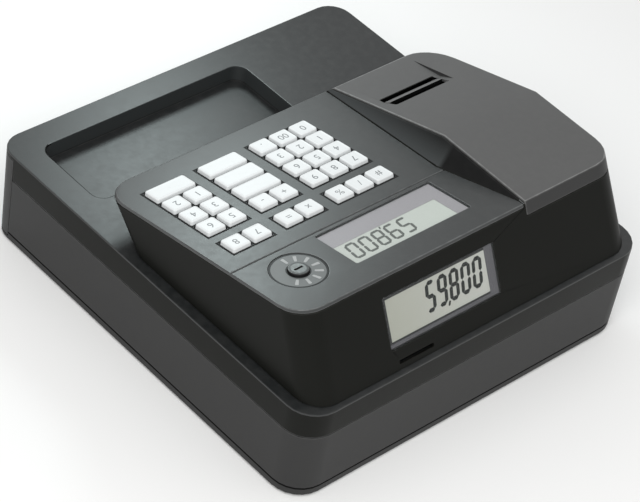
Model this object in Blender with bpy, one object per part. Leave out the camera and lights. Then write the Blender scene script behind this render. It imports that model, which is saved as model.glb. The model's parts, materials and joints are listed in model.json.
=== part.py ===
"""Compact cash register with a keyboard, two displays, a receipt printer and a small cash drawer.

Metres, +Z up. The origin is the bottom centre. -Y is the operator's side, where the drawer opens, and
+X is the operator's right. The upper body's top is one sloped plane that the keyboard, the operator's
display and the mode switch share, and its back wall leans forward and holds the customer's display.
"""

import math

import bmesh
import bpy
from mathutils import Matrix, Vector

# Fits and cuts that every piece shares
GAP = 0.0003
OVERRUN = 0.003
REACH = 0.5
CORNER_STEPS = 6
CIRCLE_STEPS = 24
SMOOTH_ANGLE = math.radians(35)

# Case
TOTAL_WIDTH = 0.330
TOTAL_DEPTH = 0.340
DECK_HEIGHT = 0.080
PARTING_HEIGHT = 0.0576
SEAM_HEIGHT = 0.008
CASE_WALL = 0.0025
CASE_DRAFT = 0.001
CASE_FRONT_CORNER = 0.018
CASE_BACK_CORNER = 0.023
FOOT_HEIGHT = 0.002
FOOT_RADIUS = 0.009
FOOT_INSET = 0.030
PLATE_THICKNESS = 0.002
HOUSING_ROOF = 0.002

# Deck and its tray
DECK_THICKNESS = 0.003
TRAY_LEFT_MARGIN = 0.0112
TRAY_RIGHT_MARGIN = 0.0226
TRAY_BACK_MARGIN = 0.0148
TRAY_DEPTH = 0.0137
TRAY_WALL = 0.0017
TRAY_CORNER_SHARE = 0.146
WINDOW_MARGIN = 0.005

# Upper body
BODY_SIDE_MARGIN = 0.0084
BODY_DEPTH = 0.200
BODY_BACK_MARGIN = 0.004
BODY_CORNER = 0.021
BODY_WALL = 0.003
SIDE_DRAFT = math.radians(3.1)
BACK_TILT = math.radians(27.8)
BODY_UNDERCUT = 0.0307
BROW_SHARE = 0.409
BROW_LIP = 0.0004
PANEL_DROP = 0.00117

# Keyboard panel. A share is part of the panel's length along its slope, from its front edge
PANEL_THICKNESS = 0.0026
CROSS_GROOVE_SHARE = 0.6687
CROSS_GROOVE_WIDTH = 0.0012
CROSS_GROOVE_DEPTH = 0.0006
BOSS_RADIUS = 0.0025

# Keys
KEYS_LEFT_MARGIN = 0.04475
KEY_ROW_SHARE = 0.08955
KEY_SPACING = 0.0018
KEYS_RIGHT_MARGIN = 0.0196
KEYS_FRONT_SHARE = 0.1102
CLUSTER_GAP = 0.0116
LAST_ROW_GAP = 0.008
KEY_STAND = 0.0026
KEY_TAPER = 0.0006
KEY_BEVEL = 0.0006
KEY_CORNER = 0.0012
KEY_LIP = 0.0006
KEY_LIP_THICKNESS = 0.0015
KEY_TRAVEL = 0.003
# Widths of the keys of each row, in columns, from the cluster's right side and from the front row back
KEY_CLUSTERS = (
    ("right", 2, ((2,), (1, 1), (1, 1), (1, 1), (1, 1))),
    ("middle", 2, ((2,), (2,), (2,), (1, 1), (1, 1))),
    ("left", 3, ((1, 1, 1), (1, 1, 1), (1, 1, 1), (1, 1, 1), (1, 1, 1))),
)
PAD_HEIGHT = 0.0008
PAD_RADIUS = 0.004
SHEET_THICKNESS = 0.0012
SHEET_MARGIN = 0.002
BOARD_THICKNESS = 0.0016
BOARD_SIDE_MARGIN = 0.009
BOARD_FRONT_MARGIN = 0.0065

# Displays: the windows sit in rebates, and the glasses lie under them
WINDOW_THICKNESS = 0.0015
WINDOW_LEDGE = 0.0012
WINDOW_CORNER = 0.0015
GLASS_THICKNESS = 0.0024
OPERATOR_WINDOW_LEFT_MARGIN = 0.0322
OPERATOR_WINDOW_RIGHT_MARGIN = 0.0557
OPERATOR_WINDOW_FRONT_SHARE = 0.6871
OPERATOR_WINDOW_BACK_SHARE = 0.8950
OPERATOR_GLASS_INSET = 0.010
OPERATOR_GLASS_FRONT_SHARE = 0.7659
CUSTOMER_WINDOW_LEFT_MARGIN = 0.0357
CUSTOMER_WINDOW_RIGHT_MARGIN = 0.0547
CUSTOMER_WINDOW_BOTTOM_SHARE = 0.2242
CUSTOMER_WINDOW_TOP_SHARE = 0.7498
CUSTOMER_GLASS_INSET = 0.0105
CUSTOMER_GLASS_BOTTOM_SHARE = 0.2710
SERVICE_SLOT_WIDTH = 0.032
SERVICE_SLOT_MARGIN = 0.0048
SERVICE_SLOT_BOTTOM = 0.0045
SERVICE_SLOT_TOP = 0.0070

# Mode switch, on the panel
SWITCH_RIGHT_MARGIN = 0.0201
SWITCH_SHARE = 0.7993
SWITCH_PLUG_RADIUS = 0.0075
SWITCH_DEPTH = 0.018
SWITCH_STAND = 0.0015
SWITCH_SLOT_LENGTH = 0.008
SWITCH_SLOT_WIDTH = 0.0016
SWITCH_SLOT_DEPTH = 0.003
SWITCH_TUBE_WALL = 0.002
SWITCH_TUBE_DEPTH = 0.012
DIAL_RADIUS = 0.0205
DIAL_DEPTH = 0.0006

# Printer cover and the flank of the body beside it
COVER_WIDTH = 0.0984
COVER_SETBACK = 0.0047
COVER_FRONT_SHARE = 0.4914
RIDGE_SHARE = 0.583
RIDGE_HEIGHT = 0.1443
COVER_BACK_DROP = 0.0012
COVER_WALL = 0.0025
COVER_SKIRT = 0.009
FLANK_LAND = 0.001
FLANK_STEP = 0.0012
FLANK_FRONT_WIDTH = 0.0027
FLANK_KNEE_WIDTH = 0.0137
FLANK_KNEE_SHARE = 0.6331
FLANK_BACK_WIDTH = 0.0016
FLANK_BACK_MARGIN = 0.0047
FLANK_DEPTH = 0.008
FLANK_WALL = 0.0025
PANEL_LEDGE = 0.0015
EXIT_WIDTH = 0.054
EXIT_RIGHT_MARGIN = 0.0123
EXIT_RUN = 0.040
EXIT_LENGTH = 0.0167
EXIT_RAMP_RUN = 0.0147
EXIT_RAMP_FALL = 0.0295
EXIT_RAMP_DEPTH = 0.003
EXIT_RAMP_MARGIN = 0.005
TEAR_BAR_INSET = 0.0052
TEAR_BAR_LENGTH = 0.005
TEAR_BAR_DEPTH = 0.003
TEAR_BAR_STAND = 0.0008

# Printer frame and its paper cradle
PAPER_WIDTH = 0.058
PAPER_SIDE_CLEARANCE = 0.002
FRAME_WALL = 0.002
FRAME_RUN = 0.0447
FRAME_DROP = 0.0323
FRAME_PIVOT_DROP = 0.0403
FRAME_MIDDLE_RUN = 0.0927
CRADLE_BACK_MARGIN = 0.081
CRADLE_SHARE = 0.4787
CRADLE_DROP = 0.0523
CRADLE_HALF_ANGLE = math.radians(66)
CRADLE_STEPS = 14
HEAD_RUN = 0.0532
HEAD_BOTTOM_DROP = 0.0453
HEAD_DROP = 0.0318
HEAD_SHELF = 0.002
FIN_COUNT = 6
FIN_DEPTH = 0.0022

# Platen arm and roller
ARM_PIVOT_RUN = 0.0867
ARM_PIVOT_DROP = 0.0463
ARM_PIN_RADIUS = 0.002
ARM_CHEEK = 0.0015
ARM_CHEEK_RADIUS = 0.0042
ARM_BAR_DEPTH = 0.004
ARM_BAR_HEIGHT = 0.003
PIN_CLEARANCE = 0.0004
ROLLER_RUN = 0.0627
ROLLER_DROP = 0.0363
ROLLER_RADIUS = 0.005
ROLLER_SHAFT_RADIUS = 0.0015

# Drawer
DRAWER_FRONT_DEPTH = 0.020
DRAWER_FRONT_CLEARANCE = 0.001
DRAWER_FRONT_DROP = 0.004
DRAWER_FRONT_WALL = 0.0025
DRAWER_BOSS_RADIUS = 0.004
DRAWER_BOSS_INSET = 0.045
DRAWER_BOSS_HEIGHTS = (0.016, 0.044)
BOX_SIDE_ROOM = 0.016
BOX_BACK_ROOM = 0.046
BOX_BOTTOM = 0.006
BOX_TOP = 0.050
BOX_WALL = 0.0012
RUNNER_WIDTH = 0.0035
RUNNER_BOTTOM = 0.043
RUNNER_THICKNESS = 0.002
RAIL_THICKNESS = 0.002
RAIL_RUN_ON = 0.006

# Drawer lock
LOCK_HEIGHT = 0.058
LOCK_RADIUS = 0.0075
LOCK_TUBE_WALL = 0.003
LOCK_TUBE_ROOM = 0.003
LOCK_CAM_LENGTH = 0.012
LOCK_CAM_WIDTH = 0.006
LOCK_CAM_THICKNESS = 0.0022
LOCK_SLOT_LENGTH = 0.007
LOCK_SLOT_WIDTH = 0.0015
LOCK_SLOT_DEPTH = 0.003

# Till tray and note clips
TILL_CLEARANCE = 0.0005
TILL_TOP = 0.046
TILL_WALL = 0.002
TILL_FLOOR = 0.0015
NOTE_COLUMN_COUNT = 3
NOTE_LENGTH = 0.170
COIN_COLUMN_COUNT = 4
COIN_ROW_COUNT = 2
ROD_SETBACK = 0.012
ROD_HEIGHT = 0.042
ROD_RADIUS = 0.002
ROD_SEAT = 0.001
CLIP_LENGTH = 0.092
CLIP_WIDTH = 0.014
CLIP_THICKNESS = 0.0015
CLIP_HUB_WALL = 0.002

# Latch behind the drawer
HOOK_HALF_WIDTH = 0.003
HOOK_HEAD_REACH = 0.0095
HOOK_REACH = 0.014
HOOK_HEAD_LENGTH = 0.004
HOOK_BOTTOM = 0.015
HOOK_TOP = 0.023
LEVER_X = 0.014
LEVER_RUN = 0.034
LEVER_BOTTOM = 0.0173
LEVER_THICKNESS = 0.003
LEVER_HUB_RADIUS = 0.006
LEVER_HALF_WIDTH = 0.0035
LEVER_LENGTH = 0.027
LEVER_NOSE_REACH = 0.0104
LEVER_NOSE_LENGTH = 0.0065
LEVER_TAIL = 0.011
LEVER_RELEASE = math.radians(25)
POST_RADIUS = 0.004
POST_PIN_RADIUS = 0.002
POST_PIN_STAND = 0.003
SOLENOID_LEFT = 0.036
SOLENOID_RIGHT = 0.066
SOLENOID_RUN = 0.010
SOLENOID_DEPTH = 0.026
SOLENOID_HEIGHT = 0.022
PLUNGER_RADIUS = 0.003
PLUNGER_LENGTH = 0.004

# Drawer spring
SPRING_X = -0.040
SPRING_HEIGHT = 0.025
SPRING_RADIUS = 0.0065
SPRING_WIRE_RADIUS = 0.0009
SPRING_TURNS = 9
SPRING_POINTS_PER_TURN = 9
SPRING_WIRE_SIDES = 6
PEG_RADIUS = 0.004
PEG_LENGTH = 0.012

# Case and upper body: places that follow from the sizes above
CASE_SIDE = TOTAL_WIDTH / 2
CASE_FRONT = -TOTAL_DEPTH / 2
CASE_BACK = TOTAL_DEPTH / 2
UPPER_RISE = RIDGE_HEIGHT - DECK_HEIGHT
BACK_WALL_LENGTH = UPPER_RISE / math.cos(BACK_TILT)
BODY_FOOT_WIDTH = TOTAL_WIDTH - 2 * BODY_SIDE_MARGIN
BODY_FOOT_BACK = CASE_BACK - BODY_BACK_MARGIN
BODY_FOOT_FRONT = BODY_FOOT_BACK - BODY_DEPTH
BODY_SIDE = BODY_FOOT_WIDTH / 2
BODY_TOP = RIDGE_HEIGHT + OVERRUN
BROW_FRONT = BODY_FOOT_FRONT - BODY_UNDERCUT
BROW_HEIGHT = DECK_HEIGHT + UPPER_RISE * BROW_SHARE
PANEL_FRONT_HEIGHT = BROW_HEIGHT + BROW_LIP
FLOOR_TOP = FOOT_HEIGHT + PLATE_THICKNESS

# Printer cover and flank, whose places run back from the brow
COVER_EDGE = COVER_WIDTH - BODY_SIDE
COVER_FRONT = BROW_FRONT + COVER_SETBACK
COVER_FRONT_HEIGHT = DECK_HEIGHT + UPPER_RISE * COVER_FRONT_SHARE
COVER_BACK_HEIGHT = RIDGE_HEIGHT - COVER_BACK_DROP
COVER_BACK_PLACE = BODY_FOOT_BACK - (COVER_BACK_HEIGHT - DECK_HEIGHT) * math.tan(BACK_TILT)
PANEL_RUN = COVER_BACK_PLACE - BROW_FRONT
RIDGE_PLACE = BROW_FRONT + PANEL_RUN * RIDGE_SHARE
FLANK_FRONT_X = COVER_EDGE + FLANK_FRONT_WIDTH
FLANK_KNEE_X = COVER_EDGE + FLANK_KNEE_WIDTH
FLANK_KNEE_PLACE = BROW_FRONT + PANEL_RUN * FLANK_KNEE_SHARE
FLANK_BACK_X = COVER_EDGE + FLANK_BACK_WIDTH
FLANK_BACK_PLACE = COVER_BACK_PLACE - FLANK_BACK_MARGIN
EXIT_RIGHT = COVER_EDGE - EXIT_RIGHT_MARGIN
EXIT_LEFT = EXIT_RIGHT - EXIT_WIDTH
EXIT_FRONT = BROW_FRONT + EXIT_RUN
EXIT_BACK = EXIT_FRONT + EXIT_LENGTH
EXIT_RAMP_FRONT = BROW_FRONT + EXIT_RAMP_RUN
EXIT_RAMP_LOW = EXIT_RAMP_FRONT + EXIT_RAMP_FALL
TEAR_BAR_FRONT = EXIT_FRONT + TEAR_BAR_INSET
TEAR_BAR_BACK = TEAR_BAR_FRONT + TEAR_BAR_LENGTH

# Panel, keys, windows and mode switch, along the panel's slope and across it
PANEL_SLOPE = math.atan2(COVER_BACK_HEIGHT - PANEL_DROP - PANEL_FRONT_HEIGHT, PANEL_RUN)
PANEL_LENGTH = PANEL_RUN / math.cos(PANEL_SLOPE)
PANEL_UNDERSIDE = -PANEL_THICKNESS
CROSS_GROOVE_PLACE = PANEL_LENGTH * CROSS_GROOVE_SHARE
KEYS_LEFT = COVER_EDGE + KEYS_LEFT_MARGIN
KEYS_RIGHT = BODY_SIDE - KEYS_RIGHT_MARGIN
KEYS_FRONT = PANEL_LENGTH * KEYS_FRONT_SHARE
KEY_COLUMN_COUNT = sum(columns for cluster, columns, rows in KEY_CLUSTERS)
CLUSTER_GAP_COUNT = len(KEY_CLUSTERS) - 1
KEYS_SPAN = KEYS_RIGHT - KEYS_LEFT + KEY_SPACING - CLUSTER_GAP_COUNT * (CLUSTER_GAP - KEY_SPACING)
KEY_COLUMN_PITCH = KEYS_SPAN / KEY_COLUMN_COUNT
KEY_ROW_PITCH = PANEL_LENGTH * KEY_ROW_SHARE
LIP_BOTTOM = PANEL_UNDERSIDE - GAP - KEY_LIP_THICKNESS
PAD_TOP = LIP_BOTTOM - KEY_TRAVEL - GAP
SHEET_TOP = PAD_TOP - PAD_HEIGHT
SHEET_BOTTOM = SHEET_TOP - SHEET_THICKNESS
BOARD_TOP = SHEET_BOTTOM - GAP
OPERATOR_WINDOW_LEFT = COVER_EDGE + OPERATOR_WINDOW_LEFT_MARGIN
OPERATOR_WINDOW_RIGHT = KEYS_RIGHT - OPERATOR_WINDOW_RIGHT_MARGIN
OPERATOR_WINDOW_FRONT = PANEL_LENGTH * OPERATOR_WINDOW_FRONT_SHARE
OPERATOR_WINDOW_BACK = PANEL_LENGTH * OPERATOR_WINDOW_BACK_SHARE
OPERATOR_GLASS_LEFT = OPERATOR_WINDOW_LEFT + OPERATOR_GLASS_INSET
OPERATOR_GLASS_FRONT = PANEL_LENGTH * OPERATOR_GLASS_FRONT_SHARE
CUSTOMER_WINDOW_LEFT = COVER_EDGE + CUSTOMER_WINDOW_LEFT_MARGIN
CUSTOMER_WINDOW_RIGHT = KEYS_RIGHT - CUSTOMER_WINDOW_RIGHT_MARGIN
CUSTOMER_WINDOW_BOTTOM = BACK_WALL_LENGTH * CUSTOMER_WINDOW_BOTTOM_SHARE
CUSTOMER_WINDOW_TOP = BACK_WALL_LENGTH * CUSTOMER_WINDOW_TOP_SHARE
CUSTOMER_GLASS_LEFT = CUSTOMER_WINDOW_LEFT + CUSTOMER_GLASS_INSET
CUSTOMER_GLASS_BOTTOM = BACK_WALL_LENGTH * CUSTOMER_GLASS_BOTTOM_SHARE
SERVICE_SLOT_RIGHT = CUSTOMER_WINDOW_RIGHT - SERVICE_SLOT_MARGIN
SERVICE_SLOT_LEFT = SERVICE_SLOT_RIGHT - SERVICE_SLOT_WIDTH
SWITCH_X = KEYS_RIGHT - SWITCH_RIGHT_MARGIN
SWITCH_PLACE = PANEL_LENGTH * SWITCH_SHARE

# Printer, whose heights hang from the cover's ridge
PRINTER_X = (EXIT_LEFT + EXIT_RIGHT) / 2
PAPER_HALF = PAPER_WIDTH / 2 + PAPER_SIDE_CLEARANCE
FRAME_FRONT = BROW_FRONT + FRAME_RUN
FRAME_MIDDLE = BROW_FRONT + FRAME_MIDDLE_RUN
FRAME_TOP = RIDGE_HEIGHT - FRAME_DROP
FRAME_PIVOT_TOP = RIDGE_HEIGHT - FRAME_PIVOT_DROP
CRADLE_PLACE = BODY_FOOT_BACK - CRADLE_BACK_MARGIN
CRADLE_RADIUS = (RIDGE_HEIGHT - PARTING_HEIGHT) * CRADLE_SHARE
CRADLE_TOP = RIDGE_HEIGHT - CRADLE_DROP
HEAD_FRONT = BROW_FRONT + HEAD_RUN
HEAD_BOTTOM = RIDGE_HEIGHT - HEAD_BOTTOM_DROP
HEAD_TOP = RIDGE_HEIGHT - HEAD_DROP
ARM_PIVOT_PLACE = BROW_FRONT + ARM_PIVOT_RUN
ARM_PIVOT_HEIGHT = RIDGE_HEIGHT - ARM_PIVOT_DROP
ROLLER_PLACE = BROW_FRONT + ROLLER_RUN
ROLLER_HEIGHT = RIDGE_HEIGHT - ROLLER_DROP

# Drawer and what stands behind it
DRAWER_FRONT_BACK = CASE_FRONT + DRAWER_FRONT_DEPTH
DRAWER_FRONT_TOP = DECK_HEIGHT - DRAWER_FRONT_DROP
DRAWER_BOSS_X = CASE_SIDE - DRAWER_BOSS_INSET
HOUSING_FRONT = DRAWER_FRONT_BACK + GAP
BOX_HALF_WIDTH = CASE_SIDE - BOX_SIDE_ROOM
BOX_BACK = CASE_BACK - BOX_BACK_ROOM
RAIL_BACK = BOX_BACK + RAIL_RUN_ON
LOCK_TUBE_BACK = DRAWER_FRONT_BACK - LOCK_TUBE_ROOM
ROD_PLACE = BOX_BACK - ROD_SETBACK
ROD_HOLE_RADIUS = ROD_RADIUS + PIN_CLEARANCE
TILL_BOTTOM = BOX_BOTTOM + BOX_WALL + GAP
HOOK_HEAD_FRONT = BOX_BACK + HOOK_REACH
HOOK_HEAD_BACK = HOOK_HEAD_FRONT + HOOK_HEAD_LENGTH
LEVER_PLACE = BOX_BACK + LEVER_RUN
SOLENOID_FRONT = BOX_BACK + SOLENOID_RUN
SOLENOID_BACK = SOLENOID_FRONT + SOLENOID_DEPTH
SPRING_FRONT = BOX_BACK + GAP + SPRING_WIRE_RADIUS

# Deck's tray, in front of the upper body
TRAY_LEFT = COVER_EDGE + TRAY_LEFT_MARGIN
TRAY_RIGHT = CASE_SIDE - TRAY_RIGHT_MARGIN
TRAY_FRONT = HOUSING_FRONT + TRAY_WALL
TRAY_BACK = BROW_FRONT - TRAY_BACK_MARGIN
TRAY_CORNER = (TRAY_BACK - TRAY_FRONT) * TRAY_CORNER_SHARE
TRAY_FLOOR = DECK_HEIGHT - TRAY_DEPTH


# Outlines

def rectangle(left, right, front, back):
    return [(left, front), (right, front), (right, back), (left, back)]


def rounded_rectangle(left, right, front, back, front_radius, back_radius=None, steps=CORNER_STEPS):
    """A rectangle whose corners are arcs, counter-clockwise from the right front corner."""
    if back_radius is None:
        back_radius = front_radius
    corners = (
        (right - front_radius, front + front_radius, front_radius, -90),
        (right - back_radius, back - back_radius, back_radius, 0),
        (left + back_radius, back - back_radius, back_radius, 90),
        (left + front_radius, front + front_radius, front_radius, 180),
    )
    outline = []
    for x, y, radius, start in corners:
        for step in range(steps + 1):
            angle = math.radians(start + 90 * step / steps)
            outline.append((x + radius * math.cos(angle), y + radius * math.sin(angle)))
    return outline


def circle(x, y, radius, steps=CIRCLE_STEPS):
    angles = [math.tau * step / steps for step in range(steps)]
    return [(x + radius * math.cos(angle), y + radius * math.sin(angle)) for angle in angles]


# Solids

def loft(rings, flat=True):
    """A closed solid through rings of equally many points. Faces that aren't flat become triangles."""
    shape = bmesh.new()
    layers = [[shape.verts.new(point) for point in ring] for ring in rings]
    for lower, upper in zip(layers, layers[1:]):
        for index, corner in enumerate(lower):
            following = (index + 1) % len(lower)
            shape.faces.new((corner, lower[following], upper[following], upper[index]))
    shape.faces.new(layers[0][::-1])
    shape.faces.new(layers[-1])
    bmesh.ops.recalc_face_normals(shape, faces=shape.faces)
    if not flat:
        bmesh.ops.triangulate(shape, faces=shape.faces)
    mesh = bpy.data.meshes.new("shape")
    shape.to_mesh(mesh)
    shape.free()
    body = bpy.data.objects.new("shape", mesh)
    bpy.context.scene.collection.objects.link(body)
    return body


def prism(outline, bottom, top):
    """An outline in x and y, drawn up from one height to another."""
    return loft([[Vector((x, y, z)) for x, y in outline] for z in (bottom, top)])


def prism_x(profile, left, right):
    """A profile in y and z, drawn along X."""
    return loft([[Vector((x, y, z)) for y, z in profile] for x in (left, right)])


def prism_y(profile, front, back):
    """A profile in x and z, drawn along Y."""
    return loft([[Vector((x, y, z)) for x, z in profile] for y in (front, back)])


def column(outline, floor, roof):
    """A solid over a plan outline, whose floor and roof heights are functions of y."""
    return loft([[Vector((x, y, height(y))) for x, y in outline] for height in (floor, roof)])


def placed(body, frame):
    """Move a solid from local coordinates into a frame."""
    body.data.transform(frame)
    return body


def combine(body, tool, operation):
    modifier = body.modifiers.new("combine", "BOOLEAN")
    modifier.operation = operation
    modifier.object = tool
    evaluated = body.evaluated_get(bpy.context.evaluated_depsgraph_get())
    result = bpy.data.meshes.new_from_object(evaluated)
    body.modifiers.clear()
    body.data = result
    bpy.data.objects.remove(tool)


def cut(body, *tools):
    for tool in tools:
        combine(body, tool, "DIFFERENCE")
    return body


def join(body, *tools):
    for tool in tools:
        combine(body, tool, "UNION")
    return body


def keep(body, *tools):
    for tool in tools:
        combine(body, tool, "INTERSECT")
    return body


def finish(body, name, material, parent=None, origin=None):
    """Name a solid, give it its material and put its origin on its joint's axis."""
    body.name = name
    body.data.name = name
    body.data.materials.clear()
    body.data.materials.append(material)
    body.data.shade_smooth()
    body.data.set_sharp_from_angle(angle=SMOOTH_ANGLE)
    body.parent = parent
    if origin is not None:
        body.data.transform(Matrix.Translation(-Vector(origin)))
        body.location = origin
    return body


def make_material(name, colour, roughness, metallic=0.0):
    material = bpy.data.materials.new(name)
    material.use_nodes = True
    shader = material.node_tree.nodes["Principled BSDF"]
    shader.inputs["Base Color"].default_value = (*colour, 1.0)
    shader.inputs["Roughness"].default_value = roughness
    shader.inputs["Metallic"].default_value = metallic
    return material


# Surfaces that several pieces share

def level(height):
    return lambda y: height


def panel_height(drop):
    """Height of the panel's plane at a given y, lowered by a drop square to it."""
    def height(y):
        return PANEL_FRONT_HEIGHT + (y - BROW_FRONT) * math.tan(PANEL_SLOPE) - drop / math.cos(PANEL_SLOPE)
    return height


def cover_profile(drop):
    """The printer cover's top line as corners in y and z, lowered by a drop."""
    return [
        (COVER_FRONT, COVER_FRONT_HEIGHT - drop),
        (RIDGE_PLACE, RIDGE_HEIGHT - drop),
        (COVER_BACK_PLACE, COVER_BACK_HEIGHT - drop),
    ]


def height_on(profile, y):
    """Height at y of a line through corners, carried on straight past its ends."""
    spans = list(zip(profile, profile[1:]))
    for (start, low), (end, high) in spans:
        if y <= end:
            break
    return low + (high - low) * (y - start) / (end - start)


def case_loft(inset, bottom, top):
    """The case's outline, inset, between two heights. It narrows a little downwards."""
    rings = []
    for height in (bottom, top):
        margin = inset + CASE_DRAFT * (DECK_HEIGHT - height) / DECK_HEIGHT
        outline = rounded_rectangle(
            margin - TOTAL_WIDTH / 2, TOTAL_WIDTH / 2 - margin,
            margin - TOTAL_DEPTH / 2, TOTAL_DEPTH / 2 - margin,
            CASE_FRONT_CORNER - inset, CASE_BACK_CORNER - inset)
        rings.append([Vector((x, y, height)) for x, y in outline])
    return loft(rings)


def body_ring(inset, height):
    rise = height - DECK_HEIGHT
    half_width = BODY_FOOT_WIDTH / 2 - rise * math.tan(SIDE_DRAFT) - inset
    back = BODY_FOOT_BACK - rise * math.tan(BACK_TILT) - inset
    undercut = (BROW_FRONT - BODY_FOOT_FRONT) / (BROW_HEIGHT - DECK_HEIGHT)
    chamfer = (COVER_FRONT - BROW_FRONT) / (COVER_FRONT_HEIGHT - BROW_HEIGHT)
    if height <= BROW_HEIGHT:
        front = BODY_FOOT_FRONT + rise * undercut + inset
    else:
        front = BROW_FRONT + (height - BROW_HEIGHT) * chamfer + inset
    outline = rounded_rectangle(-half_width, half_width, front, back, BODY_CORNER - inset)
    return [Vector((x, y, height)) for x, y in outline]


def body_loft(inset, bottom):
    """The upper body's outside, inset, from a height up past its highest line."""
    return loft([body_ring(inset, height) for height in (bottom, BROW_HEIGHT, BODY_TOP)])


def flank_foot(margin):
    """Plan line where the printer's flank meets the panel, from the front to the back."""
    return [
        (FLANK_FRONT_X + margin, -REACH),
        (FLANK_FRONT_X + margin, COVER_FRONT),
        (FLANK_KNEE_X + margin, FLANK_KNEE_PLACE),
        (FLANK_BACK_X + margin, FLANK_BACK_PLACE),
        (FLANK_BACK_X + margin, REACH),
    ]


def keyboard_side(margin, floor):
    """Everything to the right of the flank's foot and above a floor."""
    outline = flank_foot(margin) + [(REACH, REACH), (REACH, -REACH)]
    return column(outline, floor, level(REACH))


def flank_side(margin):
    """The flank's block and everything to its left, down to the flank's depth."""
    outline = flank_foot(margin) + [(-REACH, REACH), (-REACH, -REACH)]
    return column(outline, panel_height(FLANK_DEPTH), level(REACH))


def printer_side(edge, floor):
    """Everything to the left of an edge and above a floor."""
    return column(rectangle(-REACH, edge, -REACH, REACH), floor, level(REACH))


def above_cover(drop):
    """Everything above the cover's top line, lowered by a drop."""
    profile = cover_profile(drop)
    corners = [(y, height_on(profile, y)) for y in (-REACH, RIDGE_PLACE, REACH)]
    return prism_x([*corners, (REACH, REACH), (-REACH, REACH)], -REACH, REACH)


def above_flank():
    """Everything above the flank that falls from beside the cover to the panel."""
    land = cover_profile(FLANK_STEP)
    panel = panel_height(0)
    feet = dict((y, x) for x, y in flank_foot(0))
    feet_line = sorted(feet.items())
    places = sorted([y for y, x in feet_line] + [RIDGE_PLACE, COVER_BACK_PLACE])
    rings = []
    for y in places:
        near = min(max(y, COVER_FRONT), COVER_BACK_PLACE)
        top = Vector((COVER_EDGE + FLANK_LAND, y, height_on(land, near)))
        foot = Vector((height_on(feet_line, y), y, panel(near)))
        # The slope runs on past its foot, into the panel's place
        past = foot + (foot - top) * (PANEL_THICKNESS / 2 / (foot.x - top.x))
        rings.append([
            Vector((COVER_EDGE - OVERRUN, y, top.z)),
            top,
            past,
            Vector((past.x, y, REACH)),
            Vector((COVER_EDGE - OVERRUN, y, REACH)),
        ])
    return loft(rings, flat=False)


PANEL_FRAME = Matrix.Translation((0, BROW_FRONT, PANEL_FRONT_HEIGHT)) @ Matrix.Rotation(PANEL_SLOPE, 4, "X")
BACK_FRAME = (
    Matrix.Translation((0, BODY_FOOT_BACK, DECK_HEIGHT))
    @ Matrix.Rotation(math.pi, 4, "Z")
    @ Matrix.Rotation(math.pi / 2 - BACK_TILT, 4, "X")
)


# Keys: their places on the panel

def key_places():
    """Name, left, right, front and back of each key cap, in the panel's frame."""
    places = []
    cluster_right = KEYS_RIGHT
    for cluster, columns, rows in KEY_CLUSTERS:
        for row, widths in enumerate(rows):
            front = KEYS_FRONT + row * KEY_ROW_PITCH
            if row == len(rows) - 1:
                front += LAST_ROW_GAP
            right = cluster_right
            for index, width in enumerate(widths):
                left = right - width * KEY_COLUMN_PITCH + KEY_SPACING
                name = f"key_{cluster}_{row + 1}_{index + 1}"
                places.append((name, left, right, front, front + KEY_ROW_PITCH - KEY_SPACING))
                right = left - KEY_SPACING
        cluster_right -= columns * KEY_COLUMN_PITCH - KEY_SPACING + CLUSTER_GAP
    return places


def cluster_gap_middles():
    """x of the middle of each gap between two clusters."""
    middles = []
    cluster_right = KEYS_RIGHT
    for cluster, columns, rows in KEY_CLUSTERS[:-1]:
        cluster_left = cluster_right - columns * KEY_COLUMN_PITCH + KEY_SPACING
        middles.append(cluster_left - CLUSTER_GAP / 2)
        cluster_right = cluster_left - CLUSTER_GAP
    return middles


def keys_box():
    """Left, right, front and back of all the keys together."""
    places = key_places()
    return (
        min(place[1] for place in places), max(place[2] for place in places),
        min(place[3] for place in places), max(place[4] for place in places))


def board_box():
    left, right, front, back = keys_box()
    return (left - BOARD_SIDE_MARGIN, right + BOARD_SIDE_MARGIN,
            front - BOARD_FRONT_MARGIN, back + BOARD_FRONT_MARGIN)


def boss_places():
    """Where the panel's bosses hold the circuit board: its corners and the gaps between clusters."""
    left, right, front, back = board_box()
    inset = BOSS_RADIUS + GAP
    middle = (front + back) / 2
    corners = [(x, y) for x in (left + inset, right - inset) for y in (front + inset, back - inset)]
    return corners + [(x, middle) for x in cluster_gap_middles()]


def cap_outline(left, right, front, back, inset, corner=KEY_CORNER):
    """A key's outline, inset on every side, with one flat at each corner."""
    return rounded_rectangle(left + inset, right - inset, front + inset, back - inset, corner, steps=1)


# Case pieces

def make_base_plate(material):
    plate = case_loft(0, FOOT_HEIGHT, SEAM_HEIGHT)
    cut(plate, case_loft(CASE_WALL, FLOOR_TOP, SEAM_HEIGHT + OVERRUN))
    cut(plate, prism(rectangle(-REACH, REACH, -REACH, HOUSING_FRONT), FLOOR_TOP, REACH))
    half_thickness = PLATE_THICKNESS / 2
    for x in (FOOT_INSET - TOTAL_WIDTH / 2, TOTAL_WIDTH / 2 - FOOT_INSET):
        for y in (FOOT_INSET - TOTAL_DEPTH / 2, TOTAL_DEPTH / 2 - FOOT_INSET):
            join(plate, prism(circle(x, y, FOOT_RADIUS), 0, FOOT_HEIGHT + half_thickness))
    post_bottom = FOOT_HEIGHT + half_thickness
    lever_top = LEVER_BOTTOM + LEVER_THICKNESS
    join(plate, prism(circle(LEVER_X, LEVER_PLACE, POST_RADIUS), post_bottom, LEVER_BOTTOM - GAP))
    join(plate, prism(circle(LEVER_X, LEVER_PLACE, POST_PIN_RADIUS), post_bottom, lever_top + POST_PIN_STAND))
    return finish(plate, "base_plate", material)


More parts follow.
